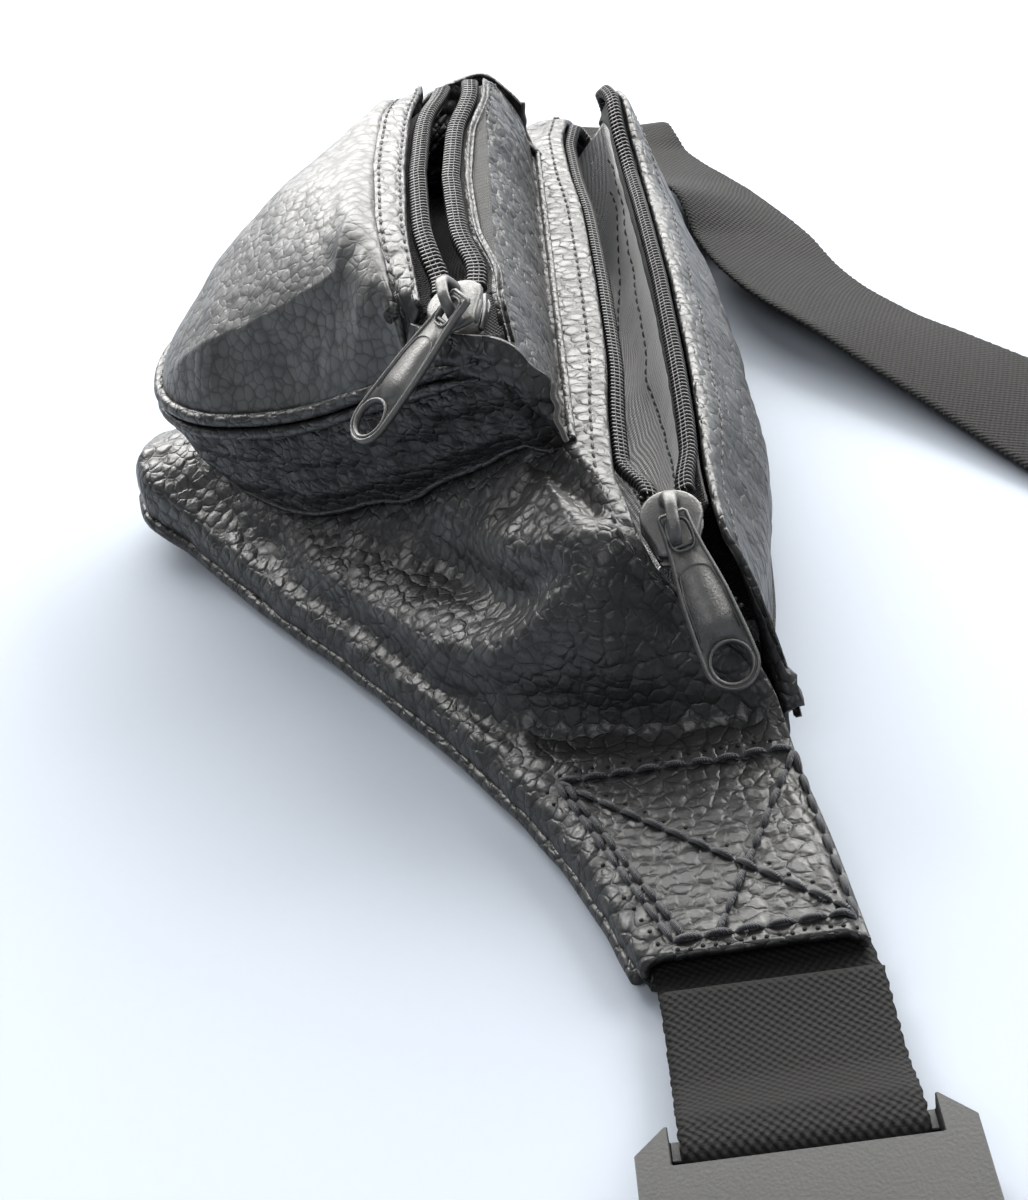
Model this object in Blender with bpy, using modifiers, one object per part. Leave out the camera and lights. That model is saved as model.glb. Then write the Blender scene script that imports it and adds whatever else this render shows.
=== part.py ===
"""Waist pack: a two-pocket leather belt bag with zips, webbing belt and clip buckle.

The bag lies on its back panel.  X runs along the belt, Y is up when the bag is
worn, and Z points out of the bag's front.  Lengths are in millimetres and are
scaled to metres when each mesh is made.
"""
import bpy
import bmesh
import math
import numpy as np
from mathutils import Vector

MM = 0.001
GAP = 0.4                   # clear space left between touching pieces

# Body outline, half of it: distance from the middle, then the edge's Y.
TOP_EDGE = [(0, 63.5), (40, 63.0), (70, 61.0), (90, 58.0), (105, 55.5), (120, 54.5),
            (135, 56.0), (150, 58.0), (168, 60.5), (186, 61.5)]
BOTTOM_EDGE = [(0, -86.0), (9, -84.0), (20, -73.5), (39, -59.5), (59, -46.0), (76, -33.5),
               (94, -21.8), (109, -11.8), (126, -2.0), (143, 7.0), (162, 15.0), (186, 22.5)]
HALF_LENGTH = 186.0
BACK_THICK = 2.4            # padded back panel
LEATHER = 1.6               # leather with its backing cloth
LINING = 0.8

# Main zip: the front lip and the back lip of its opening.
FRONT_LIP_Y = [(0, 31.6), (40, 31.2), (70, 29.5), (92, 29.0), (104, 30.3), (112, 31.4),
               (118, 34.0), (121, 41.0), (124, 49.6), (130, 53.8), (140, 55.6), (160, 58.4), (186, 60.6)]
FRONT_LIP_Z = [(0, 50.5), (70, 50.5), (96, 50.3), (108, 49.6), (114, 47.5), (118, 43.0), (121, 34.0),
               (124, 25.5), (129, 17.5), (136, 11.0), (146, 7.6), (165, 6.4), (186, 5.8)]
BACK_LIP_Y = [(0, 49.5), (40, 49.0), (70, 48.2), (92, 47.2), (104, 47.2), (112, 47.8),
              (117, 51.0), (120, 53.4), (124, 55.6), (130, 56.8)]
BACK_LIP_Z = [(0, 48.0), (70, 48.2), (96, 48.4), (108, 47.8), (113, 45.6), (117, 39.5), (120, 31.5),
              (124, 22.0), (130, 13.0)]
FAR_STOP = -112.0           # far end of the main zip

# Front pocket: plan of the seam that holds it to the body, half of it.
POCKET_SIDE = [(0, -66.0), (9, -64.5), (18, -60.0), (30, -50.0), (42, -37.0), (54, -21.0),
               (66, -3.0), (76, 12.0), (81, 19.5)]
POCKET_TOP_Y = 20.5

# Zip hardware, a size 8 coil zip.
COIL_RADIUS = 1.5
TAPE_THICK = 0.6
SLIDER_LENGTH = 14.0
SLIDER_WIDTH = 12.2
SLIDER_HEIGHT = 5.4
TAB_LENGTH = 35.0
TAB_WIDTH = 10.8
TAB_THICK = 1.7
HOLE_RADIUS = 3.8

# Belt and clip buckle for 38 mm webbing.
WEBBING = 38.0
WEBBING_THICK = 1.7

for old in list(bpy.data.objects):
    bpy.data.objects.remove(old, do_unlink=True)

pack = bpy.data.collections.new("waist_pack")
bpy.context.scene.collection.children.link(pack)
cutters = bpy.data.collections.new("waist_pack_cutters")
bpy.context.scene.collection.children.link(cutters)

FINISHES = {
    "leather": ((0.030, 0.031, 0.033), 0.45, 0.0),
    "back_cloth": ((0.020, 0.020, 0.022), 0.85, 0.0),
    "lining": ((0.055, 0.056, 0.060), 0.40, 0.0),
    "zip_tape": ((0.018, 0.019, 0.021), 0.80, 0.0),
    "zip_coil": ((0.012, 0.012, 0.013), 0.30, 0.0),
    "gunmetal": ((0.16, 0.16, 0.16), 0.32, 1.0),
    "webbing": ((0.045, 0.043, 0.043), 0.75, 0.0),
    "buckle_plastic": ((0.015, 0.015, 0.016), 0.40, 0.0),
}


def finish(name, kind):
    """Give an object a material of its own in one of the finishes."""
    colour, roughness, metallic = FINISHES[kind]
    material = bpy.data.materials.new(name)
    material.use_nodes = True
    shader = material.node_tree.nodes["Principled BSDF"]
    shader.inputs["Base Color"].default_value = (*colour, 1.0)
    shader.inputs["Roughness"].default_value = roughness
    shader.inputs["Metallic"].default_value = metallic
    return material


def smooth(table, x):
    """Value at x on a smooth curve through a table of stations."""
    px = [float(p[0]) for p in table]
    pv = [float(p[1]) for p in table]
    x = min(max(float(x), px[0]), px[-1])
    last = len(px) - 1
    step = [(pv[i + 1] - pv[i]) / (px[i + 1] - px[i]) for i in range(last)]
    slope = [step[0]]
    for i in range(1, last):
        if step[i - 1] * step[i] <= 0:
            slope.append(0.0)
        else:
            slope.append(2 * step[i - 1] * step[i] / (step[i - 1] + step[i]))
    slope.append(step[-1])
    i = 0
    while i < last - 1 and x > px[i + 1]:
        i += 1
    width = px[i + 1] - px[i]
    t = (x - px[i]) / width
    a = pv[i] * (2 * t ** 3 - 3 * t ** 2 + 1) + width * slope[i] * (t ** 3 - 2 * t ** 2 + t)
    return a + pv[i + 1] * (3 * t ** 2 - 2 * t ** 3) + width * slope[i + 1] * (t ** 3 - t ** 2)


def add_mesh(name, verts, faces, kind, origin=(0, 0, 0), collection=None):
    """Make one closed object from millimetre points, with its origin where asked."""
    shift = np.array(origin, float)
    points = [tuple((np.array(v, float) - shift) * MM) for v in verts]
    mesh = bpy.data.meshes.new(name)
    mesh.from_pydata(points, [], faces)
    bm = bmesh.new()
    bm.from_mesh(mesh)
    bmesh.ops.recalc_face_normals(bm, faces=bm.faces)
    if bm.calc_volume(signed=True) < 0:
        bmesh.ops.reverse_faces(bm, faces=bm.faces)
    bm.to_mesh(mesh)
    bm.free()
    mesh.materials.append(finish(name, kind))
    obj = bpy.data.objects.new(name, mesh)
    obj.location = tuple(shift * MM)
    (collection or pack).objects.link(obj)
    return obj


def sheet(name, rows, thickness, kind):
    """A thick sheet through a grid of outer-face points; the rest is behind it."""
    grid = np.array(rows, float)
    along = np.gradient(grid, axis=0)
    across = np.gradient(grid, axis=1)
    normal = np.cross(across, along)
    normal /= np.linalg.norm(normal, axis=2, keepdims=True)
    inner = grid - normal * thickness
    count, width = grid.shape[0], grid.shape[1]
    verts = list(grid.reshape(-1, 3)) + list(inner.reshape(-1, 3))
    half = count * width
    faces = []
    for i in range(count - 1):
        for j in range(width - 1):
            a = i * width + j
            faces.append((a, a + 1, a + width + 1, a + width))
            faces.append((half + a, half + a + width, half + a + width + 1, half + a + 1))
    rim = [(0, j) for j in range(width)]
    rim += [(i, width - 1) for i in range(1, count)]
    rim += [(count - 1, j) for j in range(width - 2, -1, -1)]
    rim += [(i, 0) for i in range(count - 2, 0, -1)]
    ids = [i * width + j for i, j in rim]
    for k, a in enumerate(ids):
        b = ids[(k + 1) % len(ids)]
        faces.append((a, half + a, half + b, b))
    return add_mesh(name, verts, faces, kind)


def sweep(name, path, profile, kind, up=(0, 0, 1), closed=False):
    """Sweep a flat profile (side, up offsets) along a path of points."""
    points = [np.array(p, float) for p in path]
    ups = up if isinstance(up, list) else [up] * len(points)
    verts = []
    for i, p in enumerate(points):
        before = points[i - 1] if i > 0 or closed else points[i]
        after = points[(i + 1) % len(points)] if i < len(points) - 1 or closed else points[i]
        tangent = after - before
        tangent /= np.linalg.norm(tangent)
        side = np.cross(tangent, np.array(ups[i], float))
        side /= np.linalg.norm(side)
        top = np.cross(side, tangent)
        for a, b in profile:
            verts.append(p + side * a + top * b)
    size = len(profile)
    count = len(points)
    faces = []
    for i in range(count if closed else count - 1):
        for j in range(size):
            a = i * size + j
            b = i * size + (j + 1) % size
            c = ((i + 1) % count) * size + (j + 1) % size
            d = ((i + 1) % count) * size + j
            faces.append((a, b, c, d))
    if not closed:
        faces.append(tuple(range(size)))
        faces.append(tuple((count - 1) * size + j for j in range(size - 1, -1, -1)))
    return add_mesh(name, verts, faces, kind)


def ring(radius, sides, squash=1.0):
    """A round profile for a sweep."""
    return [(radius * math.cos(2 * math.pi * k / sides), squash * radius * math.sin(2 * math.pi * k / sides))
            for k in range(sides)]


def flat(width, thickness):
    """A flat strip profile for a sweep."""
    return [(-width / 2, -thickness / 2), (width / 2, -thickness / 2),
            (width / 2, thickness / 2), (-width / 2, thickness / 2)]


def extrude(name, outline, low, high, kind, frame, origin=(0, 0, 0), collection=None):
    """Extrude an outline (a, b) along the third axis of a frame of three axes and a centre."""
    centre, axis_a, axis_b, axis_c = [np.array(v, float) for v in frame]
    count = len(outline)
    verts = [centre + axis_a * a + axis_b * b + axis_c * low for a, b in outline]
    verts += [centre + axis_a * a + axis_b * b + axis_c * high for a, b in outline]
    faces = [tuple(range(count)), tuple(range(2 * count - 1, count - 1, -1))]
    for i in range(count):
        j = (i + 1) % count
        faces.append((i, j, count + j, count + i))
    return add_mesh(name, verts, faces, kind, origin, collection)


def cut(target, tool):
    """Cut a tool out of a target and put the tool away with the cutters."""
    modifier = target.modifiers.new("cut_" + tool.name, "BOOLEAN")
    modifier.operation = "DIFFERENCE"
    modifier.solver = "EXACT"
    modifier.object = tool
    tool.hide_render = True
    tool.display_type = "WIRE"


def soften(obj, width, segments=1):
    """Bevel an object's sharp edges."""
    modifier = obj.modifiers.new("soften", "BEVEL")
    modifier.width = width * MM
    modifier.segments = segments
    modifier.limit_method = "ANGLE"
    modifier.angle_limit = math.radians(40)


def spread(low, high, count):
    """Evenly spaced values, ends included."""
    return [low + (high - low) * i / (count - 1) for i in range(count)]


# ---------------------------------------------------------------- body leather
def top_edge(x):
    return smooth(TOP_EDGE, abs(x))


def bottom_edge(x):
    return smooth(BOTTOM_EDGE, abs(x))


def front_lip(x):
    return np.array([x, smooth(FRONT_LIP_Y, abs(x)), smooth(FRONT_LIP_Z, abs(x))])


def back_lip(x):
    return np.array([x, smooth(BACK_LIP_Y, abs(x)), smooth(BACK_LIP_Z, abs(x))])


def front_height(x, y):
    """Height of the body's front leather above the floor at a place in plan."""
    lip = front_lip(x)
    low = bottom_edge(x) + 5.0
    strip = lip[1] - 11.0
    roll = 10.4 - 3.0 * max(0.0, (abs(x) - 120) / 66)
    crest = max(lip[2] + 2.6 * max(0.0, 1 - max(0.0, abs(x) - 70) / 40), roll)
    t = min(max((y - low) / max(strip - low, 4.0), 0.0), 1.0)
    return roll + (crest - roll) * (0.75 * t + 0.25 * math.sin(t * math.pi / 2))


STATIONS = [-186, -176, -166, -156, -146, -139, -133, -128, -125, -122.5, -120, -117, -113, -108, -100,
            -90, -80, -68, -56, -44, -32, -21, -12, -5]
STATIONS = STATIONS + [0] + [-s for s in reversed(STATIONS)]


def front_section(x):
    """Front leather's outer face at one station, from the bottom seam to the zip lip."""
    low = bottom_edge(x)
    lip = front_lip(x)
    roll = front_height(x, low + 5.0)
    start = BACK_THICK + 2.1 + 0.7 * min(1.0, max(0.0, (abs(x) - 125) / 12))
    points = [(x, low + 0.4, start), (x, low + 0.2, 0.64 * roll + 0.6 * (start - 3.9)), (x, low + 1.6, 0.89 * roll)]
    room = lip[1] - low - 5.0
    for t in (0.0, 0.12, 0.26, 0.42, 0.6, 0.78, 0.93):
        y = low + 5.0 + (room - 1.5) * t
        points.append((x, y, front_height(x, y) if t < 0.93 else max(lip[2] + 0.5, roll)))
    points.append(tuple(lip))
    return points


sheet("main_front_panel", [front_section(x) for x in STATIONS], LEATHER, "leather")

back_top = [(x, top_edge(x)) for x in STATIONS]
back_low = [(x, bottom_edge(x)) for x in reversed(STATIONS)]
panel_frame = ((0, 0, 0), (1, 0, 0), (0, 1, 0), (0, 0, 1))
extrude("back_panel", back_top + back_low, 0.0, BACK_THICK, "back_cloth", panel_frame)


def gusset_point(x, t):
    """Point on the back half of the zip gusset, t running from the zip lip down to the back panel."""
    lip = back_lip(x)
    drop = lip[2] - BACK_THICK - GAP
    swell = 1.0 + 3.0 * max(0.0, 1 - (abs(x) / 125) ** 2)
    reach = (top_edge(x) - 0.6 - lip[1]) * min(1.0, 0.25 + 1.15 * t)
    return x, lip[1] + reach + swell * math.sin(math.pi * t) * 0.8, lip[2] - drop * t


def gusset_section(x):
    """Back half of the zip gusset's outer face at one station."""
    return [tuple(back_lip(x))] + [gusset_point(x, t) for t in (0.07, 0.2, 0.38, 0.58, 0.78, 0.92, 1.0)]


inner_stations = [s for s in STATIONS if abs(s) <= 128]
sheet("top_gusset_back", [list(reversed(gusset_section(x))) for x in inner_stations], LEATHER, "leather")

welt_path = [(x, bottom_edge(x) + 0.4, BACK_THICK + 0.72) for x in STATIONS if abs(x) < 184]
sweep("bottom_seam_welt", welt_path, ring(0.4, 6), "leather")

# Lining: one trough of cloth hung inside the body leather.
lining_stations = [s for s in STATIONS if abs(s) <= 100]


def lining_section(x):
    """Inner face of the cloth lining, from the front coil round to the back coil."""
    lip = front_lip(x)
    back = back_lip(x)
    low = bottom_edge(x) + 13.0
    room = lip[1] - low
    points = [(x, lip[1] + 0.2, lip[2] - 5.0)]
    for t in (0.85, 0.6, 0.35, 0.12, 0.0):
        y = low + room * t
        points.append((x, y, front_height(x, y) - 4.6 - 2.5 * t))
    points.append((x, low - 3.0, 5.2))
    points.append((x, low + 2.0, BACK_THICK + 1.6))
    points.append((x, (low + top_edge(x)) / 2, BACK_THICK + 1.6))
    points.append((x, top_edge(x) - 8.0, BACK_THICK + 2.0))
    points.append((x, top_edge(x) - 5.0, 12.0))
    for t in (0.6, 0.42, 0.27):
        wall = gusset_point(x, t)
        points.append((x, wall[1] - LEATHER - LINING - 0.8, wall[2]))
    points.append((x, back[1] + 0.4, back[2] - 8.8))
    return points


sheet("main_lining", [list(reversed(lining_section(x))) for x in lining_stations], -LINING, "lining")


# ------------------------------------------------------------------- main zip
def strip_between(name, first, second, thickness, kind, up_shift=0.0):
    """A thin strip lofted between two edge lines."""
    rows = [[tuple(a + (b - a) * t + np.array((0, 0, up_shift))) for t in (0.0, 0.5, 1.0)]
            for a, b in zip(first, second)]
    return sheet(name, rows, thickness, kind)


MAIN_SLIDER = (111.4, 38.8, 47.6)
POCKET_SLIDER = (70.0, 3.3, 79.2)
zip_run = [FAR_STOP + i * (MAIN_SLIDER[0] - 8.6 - FAR_STOP) / 26 for i in range(27)]


def main_coil_front(x):
    return front_lip(x) + np.array((0.0, 2.0, -2.0))


def main_coil_back(x):
    return back_lip(x) + np.array((0.0, -2.6, 0.6))


def join_at_slider(point, x, slider, begin, lift):
    """Draw a coil toward the slider's nose as it nears it."""
    if x <= begin:
        return point
    t = (x - begin) / (slider[0] - 8.6 - begin)
    ease = t * t * (3 - 2 * t)
    side = 3.6 if point[1] > slider[1] else -3.6
    goal = np.array((x, slider[1] + side, slider[2] + lift))
    return point + (goal - point) * ease


front_coil = [join_at_slider(main_coil_front(x), x, MAIN_SLIDER, 84.0, 2.6) for x in zip_run]
back_coil = [join_at_slider(main_coil_back(x), x, MAIN_SLIDER, 84.0, 2.6) for x in zip_run]
sweep("main_coil_front", front_coil, ring(COIL_RADIUS, 6), "zip_coil")
sweep("main_coil_back", back_coil, ring(COIL_RADIUS, 6), "zip_coil")
tape_in = [front_lip(x) + np.array((0, -6.0, -3.2)) for x in zip_run]
tape_out = [front_lip(x) + np.array((0, 0.1, -2.5)) for x in zip_run]
strip_between("main_tape_front", tape_out, tape_in, -TAPE_THICK, "zip_tape")
tape_in = [back_lip(x) + np.array((0, -1.6, -6.6)) for x in zip_run]
tape_out = [back_lip(x) + np.array((0, -2.2, -1.4)) for x in zip_run]
strip_between("main_tape_back", tape_in, tape_out, TAPE_THICK, "zip_tape")
closed_path = [(118.2, 42.2, 39.0), (118.8, 44.4, 36.6), (119.6, 46.6, 33.8), (120.8, 48.4, 30.8)]
sweep("main_zip_closed_end", closed_path, flat(4.6, 1.8), "zip_coil", up=(0.8, -0.35, 0.5))


# -------------------------------------------------------------- front pocket
def pocket_base(x, y, lift=GAP):
    return np.array((x, y, front_height(x, y) + lift))


POCKET_BASE_PLAN = [(81.0, 18.6), (73.0, 7.0), (63.0, -8.0), (53.0, -23.0), (42.0, -38.0), (34.0, -46.5),
                    (26.0, -54.0), (17.0, -61.0), (8.0, -65.2), (0.0, -66.0)]
POCKET_RIM = [(80.2, 10.2, 72.5), (73.5, 1.5, 69.0), (65.0, -8.0, 63.5), (56.5, -20.0, 57.5), (47.5, -32.0, 51.0),
              (40.0, -43.0, 47.0), (33.0, -54.0, 44.5), (24.5, -64.0, 43.0), (13.0, -71.0, 42.5), (0.0, -72.6, 42.5)]


def mirrored(points):
    """A half path followed by its mirror image across the middle."""
    return points + [(-p[0],) + tuple(p[1:]) for p in reversed(points[:-1])]


base_path = [pocket_base(x, y, 2.8) for x, y in mirrored(POCKET_BASE_PLAN)]
rim_path = [np.array(p) for p in mirrored(POCKET_RIM)]


def outward(path, i):
    """Level direction out of the pocket at a point of its rim."""
    a = path[max(i - 1, 0)]
    b = path[min(i + 1, len(path) - 1)]
    run = b - a
    out = np.array((run[1], -run[0], 0.0))
    return out / np.linalg.norm(out)


wall_rows = []
for i, (low, high) in enumerate(zip(base_path, rim_path)):
    out = outward(rim_path, i)
    top = high + np.array((0, 0, -2.0))
    wall_rows.append([tuple(low + (top - low) * t + out * 2.6 * math.sin(math.pi * t)) for t in spread(0, 1, 6)])
sheet("pocket_wall", wall_rows, -LEATHER, "leather")
sweep("pocket_piping", [p + outward(rim_path, i + 1) * 0.4 for i, p in enumerate(rim_path[1:-1])], ring(1.35, 8), "leather")

POCKET_SEAM_Y = [(0, -15.5), (30, -14.5), (50, -12.5), (62, -10.8)]
POCKET_SEAM_Z = [(0, 86.5), (30, 86.0), (50, 83.0), (62, 77.5)]
POCKET_LIP_Y = [(0, -7.8), (30, -7.2), (58, -5.2), (66, -4.6), (78, -4.0)]
POCKET_LIP_Z = [(0, 84.8), (40, 84.0), (58, 82.0), (66, 81.0), (72, 78.5), (78, 74.6)]
POCKET_BACK_LIP_Z = [(0, 81.0), (58, 81.0), (66, 80.2), (72, 78.0), (79, 74.8)]
POCKET_BACK_LIP_Y = 11.6


def pocket_seam(x):
    return np.array((x, smooth(POCKET_SEAM_Y, abs(x)), smooth(POCKET_SEAM_Z, abs(x))))


def pocket_lip(x):
    return np.array((x, smooth(POCKET_LIP_Y, abs(x)), smooth(POCKET_LIP_Z, abs(x))))


def pocket_back_lip(x):
    return np.array((x, POCKET_BACK_LIP_Y, smooth(POCKET_BACK_LIP_Z, abs(x))))


panel_rows = []
rim_count = len(rim_path) - 4
for k in range(rim_count):
    rim = rim_path[k + 2]
    place = 62.0 - 124.0 * k / (rim_count - 1)
    seam = pocket_seam(place)
    row = [rim + np.array((0, 0, 2.0))]
    for t in (0.06, 0.16, 0.3, 0.48, 0.66, 0.84, 1.0):
        level = rim + (seam - rim) * t
        level[2] = rim[2] + 2.0 + (seam[2] - rim[2] - 2.0) * (1 - (1 - t) ** 1.85)
        row.append(level)
    panel_rows.append([tuple(p) for p in row])
sheet("pocket_front_panel", panel_rows, -LEATHER, "leather")

strip_x = [-65.5, -63.5, -60, -52, -42, -30, -16, 0, 16, 30, 42, 52, 60, 63.5, 65.5]
EDGE_Y = [(0, -15.0), (30, -14.0), (50, -12.0), (60, -10.6), (63.5, -9.2), (66, -7.6)]
EDGE_Z = [(0, 86.5), (30, 86.0), (50, 83.0), (60, 78.9), (63.5, 74.0), (66, 71.0)]
strip_rows = []
for x in strip_x:
    edge = np.array((x, smooth(EDGE_Y, abs(x)), smooth(EDGE_Z, abs(x))))
    lip = pocket_lip(x)
    middle = (edge + lip) / 2 + np.array((0, 0, 0.8))
    strip_rows.append([tuple(edge), tuple(middle), tuple(lip)])
sheet("pocket_zip_strip", strip_rows, -1.2, "leather")

back_rows = []
for x in [-77.6, -74, -68, -58, -44, -28, -12, 0, 12, 28, 44, 58, 68, 74, 77.6]:
    lip = pocket_back_lip(x)
    foot = pocket_base(x, POCKET_TOP_Y)
    row = []
    for t in (0.0, 0.15, 0.4, 0.7, 1.0):
        row.append(tuple(lip + (foot - lip) * t + np.array((0, 1, 0.5)) * 1.8 * math.sin(math.pi * t)))
    back_rows.append(row)
sheet("pocket_top_gusset", back_rows, -LEATHER, "leather")

lining_rows = []
for x in [-66, -54, -40, -28, -18, -8, 0, 8, 18, 28, 40, 54, 66]:
    low = smooth(POCKET_SIDE, abs(x)) + 5.0
    lining_rows.append([(x, low + (17.0 - low) * t, front_height(x, low + (17.0 - low) * t) + 3.6)
                        for t in spread(0, 1, 6)])
sheet("pocket_lining", lining_rows, -LINING, "lining")

# ----------------------------------------------------------------- pocket zip
pocket_run = [-66.0 + i * (POCKET_SLIDER[0] - 8.6 + 66.0) / 20 for i in range(21)]
COIL_BOW = [(0, -5.2), (30, -4.2), (58, -0.4), (66, 0.4)]
COIL_BOW_BACK = [(0, 2.2), (30, 3.6), (58, 7.6), (66, 7.6)]
TAPE_REACH = [(0, -3.4), (44, -3.2), (54, -1.4), (60, 0.2), (66, 0.6)]


def pocket_coil_front_at(x):
    return np.array((x, smooth(COIL_BOW, abs(x)), pocket_lip(x)[2] - 2.2))


def pocket_coil_back_at(x):
    return np.array((x, smooth(COIL_BOW_BACK, abs(x)), pocket_back_lip(x)[2] - 0.8))


front_coil = [join_at_slider(pocket_coil_front_at(x), x, POCKET_SLIDER, 48.0, 0.6) for x in pocket_run]
back_coil = [join_at_slider(pocket_coil_back_at(x), x, POCKET_SLIDER, 48.0, 0.6) for x in pocket_run]
sweep("pocket_coil_front", front_coil, ring(COIL_RADIUS, 6), "zip_coil")
sweep("pocket_coil_back", back_coil, ring(COIL_RADIUS, 6), "zip_coil")
strip_between("pocket_tape_front", [c + np.array((0, -1.1, -3.0)) for c in front_coil],
              [pocket_lip(c[0]) + np.array((0, smooth(TAPE_REACH, abs(c[0])), -4.9)) for c in front_coil],
              -TAPE_THICK, "zip_tape")
strip_between("pocket_tape_back", [pocket_back_lip(c[0]) + np.array((0, -1.7, -1.3)) for c in back_coil],
              [c + np.array((0, 1.95, -0.9)) for c in back_coil], -TAPE_THICK, "zip_tape")


# --------------------------------------------------------- sliders and pulls
def unit(v):
    v = np.array(v, float)
    return v / np.linalg.norm(v)


PIN_HEIGHT = 3.6            # pull's cross bar above the slider's top face
CROWN_HEIGHT = 5.4
CROWN_THICK = 1.1
EYE_HALF = 2.1
CROWN_HALF = 0.7
CROWN_BACK = 1.0            # crown set back toward the tail


def slider_frame(centre, up):
    """Centre, nose, side and up directions of a slider whose nose points along -X."""
    up = unit(up)
    nose = unit(np.array((-1.0, 0, 0)) - up * np.dot((-1.0, 0, 0), up))
    return np.array(centre, float), nose, np.cross(up, nose), up


def make_slider(name, frame):
    """A slider body with two throats at the nose, one at the tail, and its tape slots."""
    half = SLIDER_LENGTH / 2
    wide = SLIDER_WIDTH / 2
    outline = [(half, -wide + 1.8), (half, wide - 1.8), (half - 2.0, wide - 0.3), (half - 4.5, wide), (0.5, wide),
               (-half + 1.5, wide - 1.6), (-half, wide - 2.4), (-half, -wide + 2.4), (-half + 1.5, -wide + 1.6),
               (0.5, -wide), (half - 4.5, -wide), (half - 2.0, -wide + 0.3)]
    body = extrude(name, outline, -SLIDER_HEIGHT / 2, SLIDER_HEIGHT / 2, "gunmetal", frame, frame[0])
    throat = [(half + 1, -5.0), (half + 1, -1.2), (3.2, 0.0), (half + 1, 1.2), (half + 1, 5.0), (3.0, 5.0),
              (-2.5, 3.1), (-half - 1, 3.1), (-half - 1, -3.1), (-2.5, -3.1), (3.0, -5.0)]
    tool = extrude(name + "_throat", throat, -1.6, 1.6, "gunmetal", frame, frame[0], cutters)
    cut(body, tool)
    for label, side in (("left", 1), ("right", -1)):
        slot = [(half + 1, side * 2.9), (half + 1, side * 8), (-half - 1, side * 8), (-half - 1, side * 2.9)]
        tool = extrude(name + "_slot_" + label, slot, -0.5, 0.5, "gunmetal", frame, frame[0], cutters)
        cut(body, tool)
    return body


def make_crown(name, frame):
    """The arched crown that holds the pull on top of a slider."""
    centre, nose, side, up = frame
    centre = centre - nose * CROWN_BACK
    base = SLIDER_HEIGHT / 2 + 0.25
    top = SLIDER_HEIGHT / 2 + CROWN_HEIGHT
    legs = [(5.4, base), (5.4, top - 1.2), (4.2, top + 0.4), (2.0, top + CROWN_THICK), (-2.0, top + CROWN_THICK),
            (-4.2, top + 0.4), (-5.4, top - 1.2), (-5.4, base), (-4.3, base), (-4.3, top - 1.4), (-3.4, top - 0.3),
            (-1.7, top), (1.7, top), (3.4, top - 0.3), (4.3, top - 1.4), (4.3, base)]
    return extrude(name, legs, -CROWN_HALF, CROWN_HALF, "gunmetal", (centre, nose, up, side), centre)


def make_pull(name, frame, direction, behind=0.0, rise=PIN_HEIGHT, past_leg=0.0):
    """A pull tab lying in the given direction, its cross bar held inside the slider's crown."""
    centre, nose, side, up = frame
    along = unit(direction)
    pivot = centre + up * (SLIDER_HEIGHT / 2 + rise) - nose * (CROWN_BACK + behind) - along * past_leg
    face = unit(up - along * np.dot(up, along))
    axis = np.cross(face, along)
    reach = TAB_LENGTH - TAB_WIDTH / 2
    outline = [(-0.95, -EYE_HALF - 0.3), (-0.95, EYE_HALF + 0.3), (-0.2, EYE_HALF + 1.0), (7.4, EYE_HALF + 1.3),
               (16.0, TAB_WIDTH / 2 - 0.6), (reach - 4, TAB_WIDTH / 2)]
    for k in range(11):
        angle = math.pi / 2 - math.pi * k / 10
        outline.append((reach + TAB_WIDTH / 2 * math.cos(angle), TAB_WIDTH / 2 * math.sin(angle)))
    outline += [(reach - 4, -TAB_WIDTH / 2), (16.0, -TAB_WIDTH / 2 + 0.6), (7.4, -EYE_HALF - 1.3),
                (-0.2, -EYE_HALF - 1.0)]
    tab_frame = (pivot, along, axis, face)
    tab = extrude(name, outline, -TAB_THICK / 2, TAB_THICK / 2, "gunmetal", tab_frame, pivot)
    eye = [(0.95, -EYE_HALF), (0.95, EYE_HALF), (6.6, EYE_HALF), (6.6, -EYE_HALF)]
    cut(tab, extrude(name + "_eye", eye, -3, 3, "gunmetal", tab_frame, pivot, cutters))
    hole = [(reach + HOLE_RADIUS * math.cos(2 * math.pi * k / 16), HOLE_RADIUS * math.sin(2 * math.pi * k / 16))
            for k in range(16)]
    cut(tab, extrude(name + "_finger_hole", hole, -3, 3, "gunmetal", tab_frame, pivot, cutters))
    return tab


main_frame = slider_frame(MAIN_SLIDER, (0.50, 0.0, 0.866))
make_slider("main_slider", main_frame)
make_crown("main_slider_crown", main_frame)
make_pull("main_pull_tab", main_frame, (0.62, 0.235, -0.748))
pocket_frame = slider_frame(POCKET_SLIDER, (0.22, -0.30, 0.93))
make_slider("pocket_slider", pocket_frame)
make_crown("pocket_slider_crown", pocket_frame)
make_pull("pocket_pull_tab", pocket_frame, (0.32, -0.70, -0.62), 4.85, 3.0, 3.3)

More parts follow.
